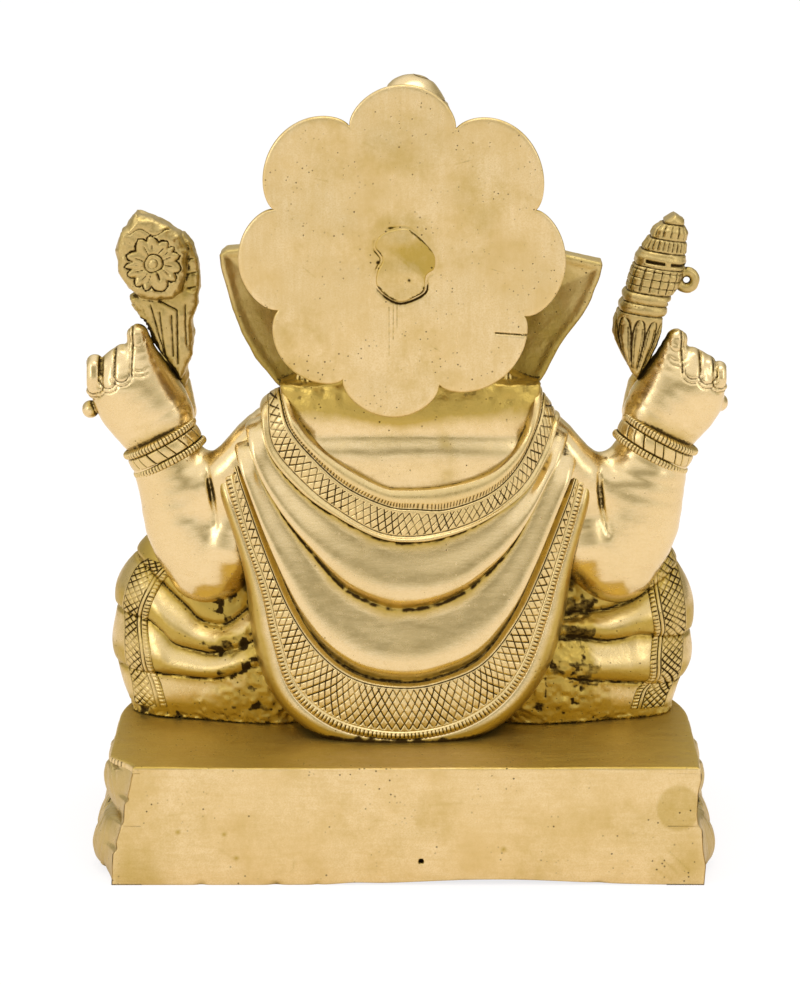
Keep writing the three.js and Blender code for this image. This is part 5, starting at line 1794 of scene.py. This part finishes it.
def build_head():
    for side, name in SIDES:
        box = ((11, 0, 110), (48, 13, 161)) if side > 0 else ((-51, 0, 110), (-11, 13, 161))
        body(name + "_ear", ear_shape(side), box, 0.5, EAR_BRASS, "polished_brass", ear_detail)
        box = ((6, -47, 110), (20, -18, 128)) if side > 0 else ((-20, -47, 110), (-6, -18, 128))
        body(name + "_tusk", tusk_shape(side), box, 0.45, BUFFED, "polished_brass")
    body("head", head_shape, ((-25, -32, 110), (25, 26, 166)), 0.6, BUFFED, "polished_brass", head_detail)
    body("trunk", lambda p: limb(p, TRUNK, 16), ((-13, -52, 75), (29, -12, 146)), 0.5, BUFFED,
         "polished_brass",
         trunk_detail)
    band_piece("crown_band", (0, -2, 158.6), (0, -0.025, 1), 22.4, 5.6, 1.0, 900, milled_profile(5.6, 1.5))
    turned("crown", (-0.4, -2.4, 161.0), (-0.06, -0.03, 1),
           [(0, 0), (20, 0.1), (20.4, 3), (18.2, 7), (14.6, 11.6), (11.0, 16.2), (8.8, 19.4), (8.2, 20.8),
            (0, 21.2)],
           720, CHASED, "chased_brass", crown_detail)
    turned("crown_finial", (-1.8, -3.1, 181.6), (-0.06, -0.03, 1),
           [(0, 0), (8.6, 0.1), (8.8, 1.5), (7.5, 3.4), (6.4, 5.0), (4.7, 6.9), (2.4, 8.1), (0, 8.6)], 480,
           BUFFED,
           "chased_brass", swirl_detail)

    def nape_shape(p):
        return limb(squash_y(p, 20, 0.8), [(-24, 12, 117.4, 2.6), (-15, 19, 115.6, 3.0),
                                           (0, 21.5, 114.4, 3.2),
                                          (15, 19, 115.6, 3.0), (24, 12, 117.4, 2.6)], 12)

    def nape_detail(v, n):
        cut = grooves(v[:, 0], 1.35, 0.28)
        return -0.4 * cut, 0.8 * cut

    body("nape_band", nape_shape, ((-28, 8, 109), (28, 26, 122)), 0.35, CHASED, "chased_brass", nape_detail)


# ---- jewellery, belt and front limbs ----
def string_of(points, count, big, small, p):
    """Row of beads on a cord."""
    path = spline(points, count)
    d = limb(p, [(*row[:3], small) for row in points], 14)
    for row in path:
        d = smin(d, np.sqrt(sum((p[i] - row[i]) ** 2 for i in range(3))) - big, 0.3)
    return d


def nearest_torso(points, lift):
    """Points moved in Y onto the torso's front."""
    out = []
    for x, z, r in points:
        ys = np.linspace(-50, 10, 240)
        d = torso_shape((np.full(240, float(x)), ys, np.full(240, float(z))))
        hit = ys[np.argmax(d < 0)]
        out.append((x, hit - lift, z, r))
    return out


FRONT_WRIST = {LEFT: ((37, -33.5, 63.5), (-0.35, -0.6, 0.4)), RIGHT: ((-36, -36, 69), (0.3, -0.5, 0.8))}


def front_arm_shape(side):
    wrist = FRONT_WRIST[side][0]

    def shape(p):
        upper = limb(p, [(side * 33, -4, 93, 8.4), (side * 40, -12, 83.5, 8.6),
                         (side * 44.5, -19, 74.5, 8.6)], 6)
        mid = ((side * 46 + wrist[0]) / 2 + side, (wrist[1] - 20) / 2 - 1, (72 + wrist[2]) / 2, 7.8)
        fore = limb(p, [(side * 45.5, -20, 73, 8.8), mid, (*wrist, 6.3)], 6)
        return smin(upper, fore, 2.5)
    return shape


def raised_palm(p):
    wx, wy, wz = FRONT_WRIST[RIGHT][0]
    heel = [(wx, wy - 1, wz + 1, 5.8), (wx, wy - 3, wz + 6.4, 7.6), (wx, wy - 3, wz + 10, 7.2)]
    d = limb(squash_y(p, wy - 3, 0.55), heel, 5)
    for dx, tall in ((-5.4, 17.4), (-1.9, 20.0), (1.8, 19.8), (5.2, 17.6)):
        d = smin(d, limb(p, [(wx + dx * 0.85, wy - 3, wz + 9.5, 2.2), (wx + dx, wy - 3.4, wz + tall, 1.7)],
                         3), 0.8)
    thumb = [(wx + 4.5, wy - 3, wz + 3, 2.8), (wx + 7.8, wy - 4, wz + 7.2, 2.4),
             (wx + 8.8, wy - 4.6, wz + 11, 1.9)]
    return smin(d, limb(p, thumb, 5), 1)


def bowl_palm(p):
    d = limb(squash_y(p, -40, 0.9), [(36.6, -34, 64.2, 6.2), (32.5, -39.5, 65.6, 6.6),
                                     (27.5, -42, 66.4, 5.8)], 5)
    for dx, dy in ((-6.6, -2.6), (-7.0, 0.6), (-6.0, 3.6)):
        finger = [(30 + dx * 0.2, -42 + dy, 66.5, 2.4), (27.8 + dx * 0.5, -42.5 + dy * 1.4, 69.5, 2.1),
                  (28.2 + dx * 0.75, -42.6 + dy * 1.6, 73.4, 1.7)]
        d = smin(d, limb(p, finger, 5), 0.8)
    return d


def build_front():
    collar = nearest_torso([(-20, 107, 1.4), (-16, 99, 1.5), (-9, 92, 1.6), (0, 89.4, 1.8), (9, 92, 1.6),
                            (16, 99, 1.5),
                            (20, 107, 1.4)], 0.6)
    body("necklace", lambda p: string_of(collar, 24, 1.9, 1.1, p), ((-25, -40, 86), (25, 0, 111)), 0.42,
         CHASED,
         "chased_brass")
    cord = nearest_torso([(25, 93, 1.3), (21, 80, 1.3), (10, 68, 1.3), (-8, 60, 1.3), (-24, 54, 1.3)], 0.3)
    body("sacred_thread", lambda p: string_of(cord, 40, 1.45, 1.1, p), ((-29, -42, 50), (30, -2, 97)), 0.42,
         CHASED,
         "chased_brass")
    sash = nearest_torso([(-30, 47, 2.4), (-20, 45, 2.6), (0, 43.5, 2.8), (20, 45, 2.6), (30, 47, 2.4)], 0.4)

    def belt_detail(v, n):
        cut = grooves(v[:, 0], 2.2, 0.3)
        return -0.35 * cut, 0.7 * cut

    body("waist_belt", lambda p: limb(p, sash, 12), ((-34, -46, 38), (34, 0, 52)), 0.45, CHASED,
         "chased_brass",
         belt_detail)

    def pleat_detail(v, n):
        cut = bell(np.sin(v[:, 0] * 1.5), 0.45)
        return -0.6 * cut, 0.5 * cut

    body("front_pleat", lambda p: np.maximum(
        limb(p, [(0, -34, 45, 6), (0.5, -42, 39, 7), (0, -44.6, 31, 5.4)], 6), BASE_TOP - p[2]),
        ((-10, -52, 29), (10, -26, 53)), 0.42, BUFFED, "aged_brass", pleat_detail)
    for side, name in SIDES:
        z = 34.8 if side > 0 else 42.6

        def foot(p, side=side, z=z):
            d = limb(p, [(side * 19, -40.5, z + 1, 4.8), (side * 8, -43, z, 4.8),
                         (side * -4, -44.5, z - 0.3, 4.3)], 6)
            for i, r in enumerate((2.0, 1.6, 1.5, 1.35, 1.2)):
                reach = side * (-9.6 + abs(i - 0.6) * 0.8)
                d = smin(d, limb(p, [(side * -4, -44.5 - (1.5 - i * 0.7), z + 2.2 - i * 1.5, r * 1.2),
                                     (reach, -45 - (1.2 - i * 0.5), z + 2.6 - i * 1.75, r)], 3), 0.5)
            return np.maximum(d, BASE_TOP - p[2])

        body(name + "_foot", foot, ((-26, -51, 29), (26, -34, 50)), 0.4, BUFFED, "polished_brass")
        band_piece(name + "_anklet", (side * 19.4, -40.4, z + 1.2), (side * -0.97, -0.2, 0.02), 6.3, 3.4,
                   1.0, 420,
                   milled_profile(3.4, 1.2))
        box = ((28, -44, 56), (58, 8, 110)) if side > 0 else ((-58, -46, 60), (-28, 8, 110))
        body(name + "_front_arm", front_arm_shape(side), box, 0.65, BUFFED, "polished_brass", soft_skin)
        band_piece(name + "_armlet", (side * 38.6, -13.4, 81.5), (side * -0.44, 0.5, 0.75), 9.2, 4.2, 1.0,
                   520)
        at, axis = FRONT_WRIST[side]
        band_piece(name + "_front_wristlet", at, axis, 7.3, 4.6, 1.0, 460)
    body("right_front_hand", raised_palm, ((-46, -45, 62), (-24, -31, 92)), 0.38, BUFFED, "polished_brass",
         soft_skin)
    body("left_front_hand", bowl_palm, ((20, -50, 56), (45, -26, 76)), 0.4, BUFFED, "polished_brass",
         soft_skin)

    def sweets(p):
        d = smax(ball(p, (28.6, -41.6, 73), (6.6, 6.6, 3.4)), p[2] - 73.6, 0.6)
        for i in range(6):
            a = i * math.pi / 3
            d = smin(d, np.sqrt((p[0] - 28.6 - 3.4 * math.cos(a)) ** 2
                                + (p[1] + 41.6 - 3.4 * math.sin(a)) ** 2
                                + (p[2] - 74.4) ** 2) - 2.1, 0.3)
        return smin(d, np.sqrt((p[0] - 28.6) ** 2 + (p[1] + 41.6) ** 2 + (p[2] - 76.6) ** 2) - 2.3, 0.3)

    body("sweet_bowl", sweets, ((21, -50, 69), (37, -34, 80)), 0.36, CHASED, "chased_brass")


# ---- studio ----
ROOM = (1.0, 0.945, 0.91)  # colour of the room's light
CAMERA = {"from": (0.001, 0.8769, 0.2883), "at": (0.001, 0.0, 0.0859), "lens": 131.57, "sensor": 36.0}


def build_camera():
    data = bpy.data.cameras.new("camera")
    data.lens = CAMERA["lens"]
    data.sensor_width = CAMERA["sensor"]
    data.sensor_fit = "AUTO"
    data.clip_start, data.clip_end = 0.01, 20
    thing = bpy.data.objects.new("camera", data)
    aim(thing, CAMERA["from"], CAMERA["at"])
    bpy.context.scene.camera = thing


def build_floor():
    """Pale sweep: the camera sees it bleached, and the brass sees it in the room's warm light."""
    half = 3.0  # metres
    mesh = bpy.data.meshes.new("floor")
    mesh.from_pydata([(-half, -half, 0), (half, -half, 0), (half, half, 0), (-half, half, 0)], [],
                     [(0, 1, 2, 3)])
    material = bpy.data.materials.new("pale_floor")
    n = Nodes(material)
    seen = n.add("ShaderNodeLightPath").outputs["Is Camera Ray"]
    paper = n.add("ShaderNodeBsdfDiffuse", {"Color": (*[0.92 * c for c in ROOM], 1)})
    glow = n.add("ShaderNodeEmission", {"Color": (0.985, 0.985, 1.0, 1), "Strength": 0.8})
    faint = n.add("ShaderNodeBsdfDiffuse", {"Color": (0.25, 0.25, 0.25, 1)})
    bleached = n.add("ShaderNodeAddShader", {0: glow.outputs[0], 1: faint.outputs[0]})
    mixed = n.add("ShaderNodeMixShader", {0: seen, 1: paper.outputs[0], 2: bleached.outputs[0]})
    n.add("ShaderNodeOutputMaterial", {"Surface": mixed.outputs[0]})
    mesh.materials.append(material)
    floor = bpy.data.objects.new("floor", mesh)
    bpy.context.scene.collection.objects.link(floor)


def aim(thing, place, at):
    """Puts a camera or light in the scene and points it."""
    bpy.context.scene.collection.objects.link(thing)
    thing.location = place
    thing.rotation_euler = (Vector(at) - Vector(place)).to_track_quat("-Z", "Y").to_euler()


def softbox(name, place, size, power):
    data = bpy.data.lights.new(name, "AREA")
    data.shape = "RECTANGLE"
    data.size, data.size_y = size
    data.energy = power
    data.color = ROOM
    aim(bpy.data.objects.new(name, data), place, (0, 0, 0.1))


def build_world():
    """Studio room: bright ceiling and sides, darker behind the camera and behind the statuette."""
    world = bpy.data.worlds.new("studio")
    bpy.context.scene.world = world
    n = Nodes(world)
    way = n.add("ShaderNodeTexCoord").outputs["Generated"]
    parts = n.add("ShaderNodeSeparateXYZ", {"Vector": way})
    up, back, side = parts.outputs["Z"], parts.outputs["Y"], parts.outputs["X"]
    dim = n.math("MULTIPLY", n.ramp(back, 0.25, 0.8), n.ramp(up, 0.52, 0.3))
    dim = n.math("MULTIPLY", dim, n.ramp(n.math("ABSOLUTE", side), 0.72, 0.35))
    dim = n.math("MULTIPLY", dim, n.ramp(up, 0.0, 0.2))
    far = n.math("MULTIPLY", n.ramp(back, 0.05, -0.4), n.ramp(up, 0.8, 0.35))
    shade = n.math("MULTIPLY", n.ramp(side, -0.15, -0.75), 0.17)
    level = n.math("SUBTRACT", n.math("SUBTRACT", 1.06, shade), n.math("MULTIPLY", dim, 0.66))
    level = n.math("SUBTRACT", level, n.math("MULTIPLY", far, 0.55))
    seen = n.add("ShaderNodeLightPath").outputs["Is Camera Ray"]
    color = n.add("ShaderNodeCombineColor", {
        0: n.math("MULTIPLY", level, ROOM[0]),
        1: n.math("MULTIPLY", n.math("MULTIPLY", level, n.ramp(level, 0.3, 0.95, 0.95, 1.0)), ROOM[1]),
        2: n.math("MULTIPLY", n.math("MULTIPLY", level, n.ramp(level, 0.3, 0.95, 0.66, 1.0)), ROOM[2]),
    }).outputs[0]
    room = n.add("ShaderNodeBackground", {"Color": color, "Strength": 1.0})
    sheet = n.add("ShaderNodeBackground", {"Color": (0.985, 0.985, 1.0, 1), "Strength": 1.0})
    mixed = n.add("ShaderNodeMixShader", {0: seen, 1: room.outputs[0], 2: sheet.outputs[0]})
    n.add("ShaderNodeOutputWorld", {"Surface": mixed.outputs[0]})


def build_studio():
    build_camera()
    build_floor()
    build_world()
    softbox("top_box", (-0.1, 0.1, 1.0), (0.8, 0.5), 2.2)
    softbox("left_box", (0.95, 0.75, 0.6), (0.3, 0.6), 1.3)
    softbox("right_box", (-0.95, 0.7, 0.6), (0.3, 0.6), 0.8)
    view = bpy.context.scene.view_settings
    view.view_transform = "Standard"
    view.look = "None"
    view.exposure = 0.0


build_studio()
build_base()
build_cloth()
build_torso()
build_legs()
build_rear_arms()
build_rear_hands()
build_held()
build_halo()
build_peg()
build_head()
build_front()
finish_pieces()
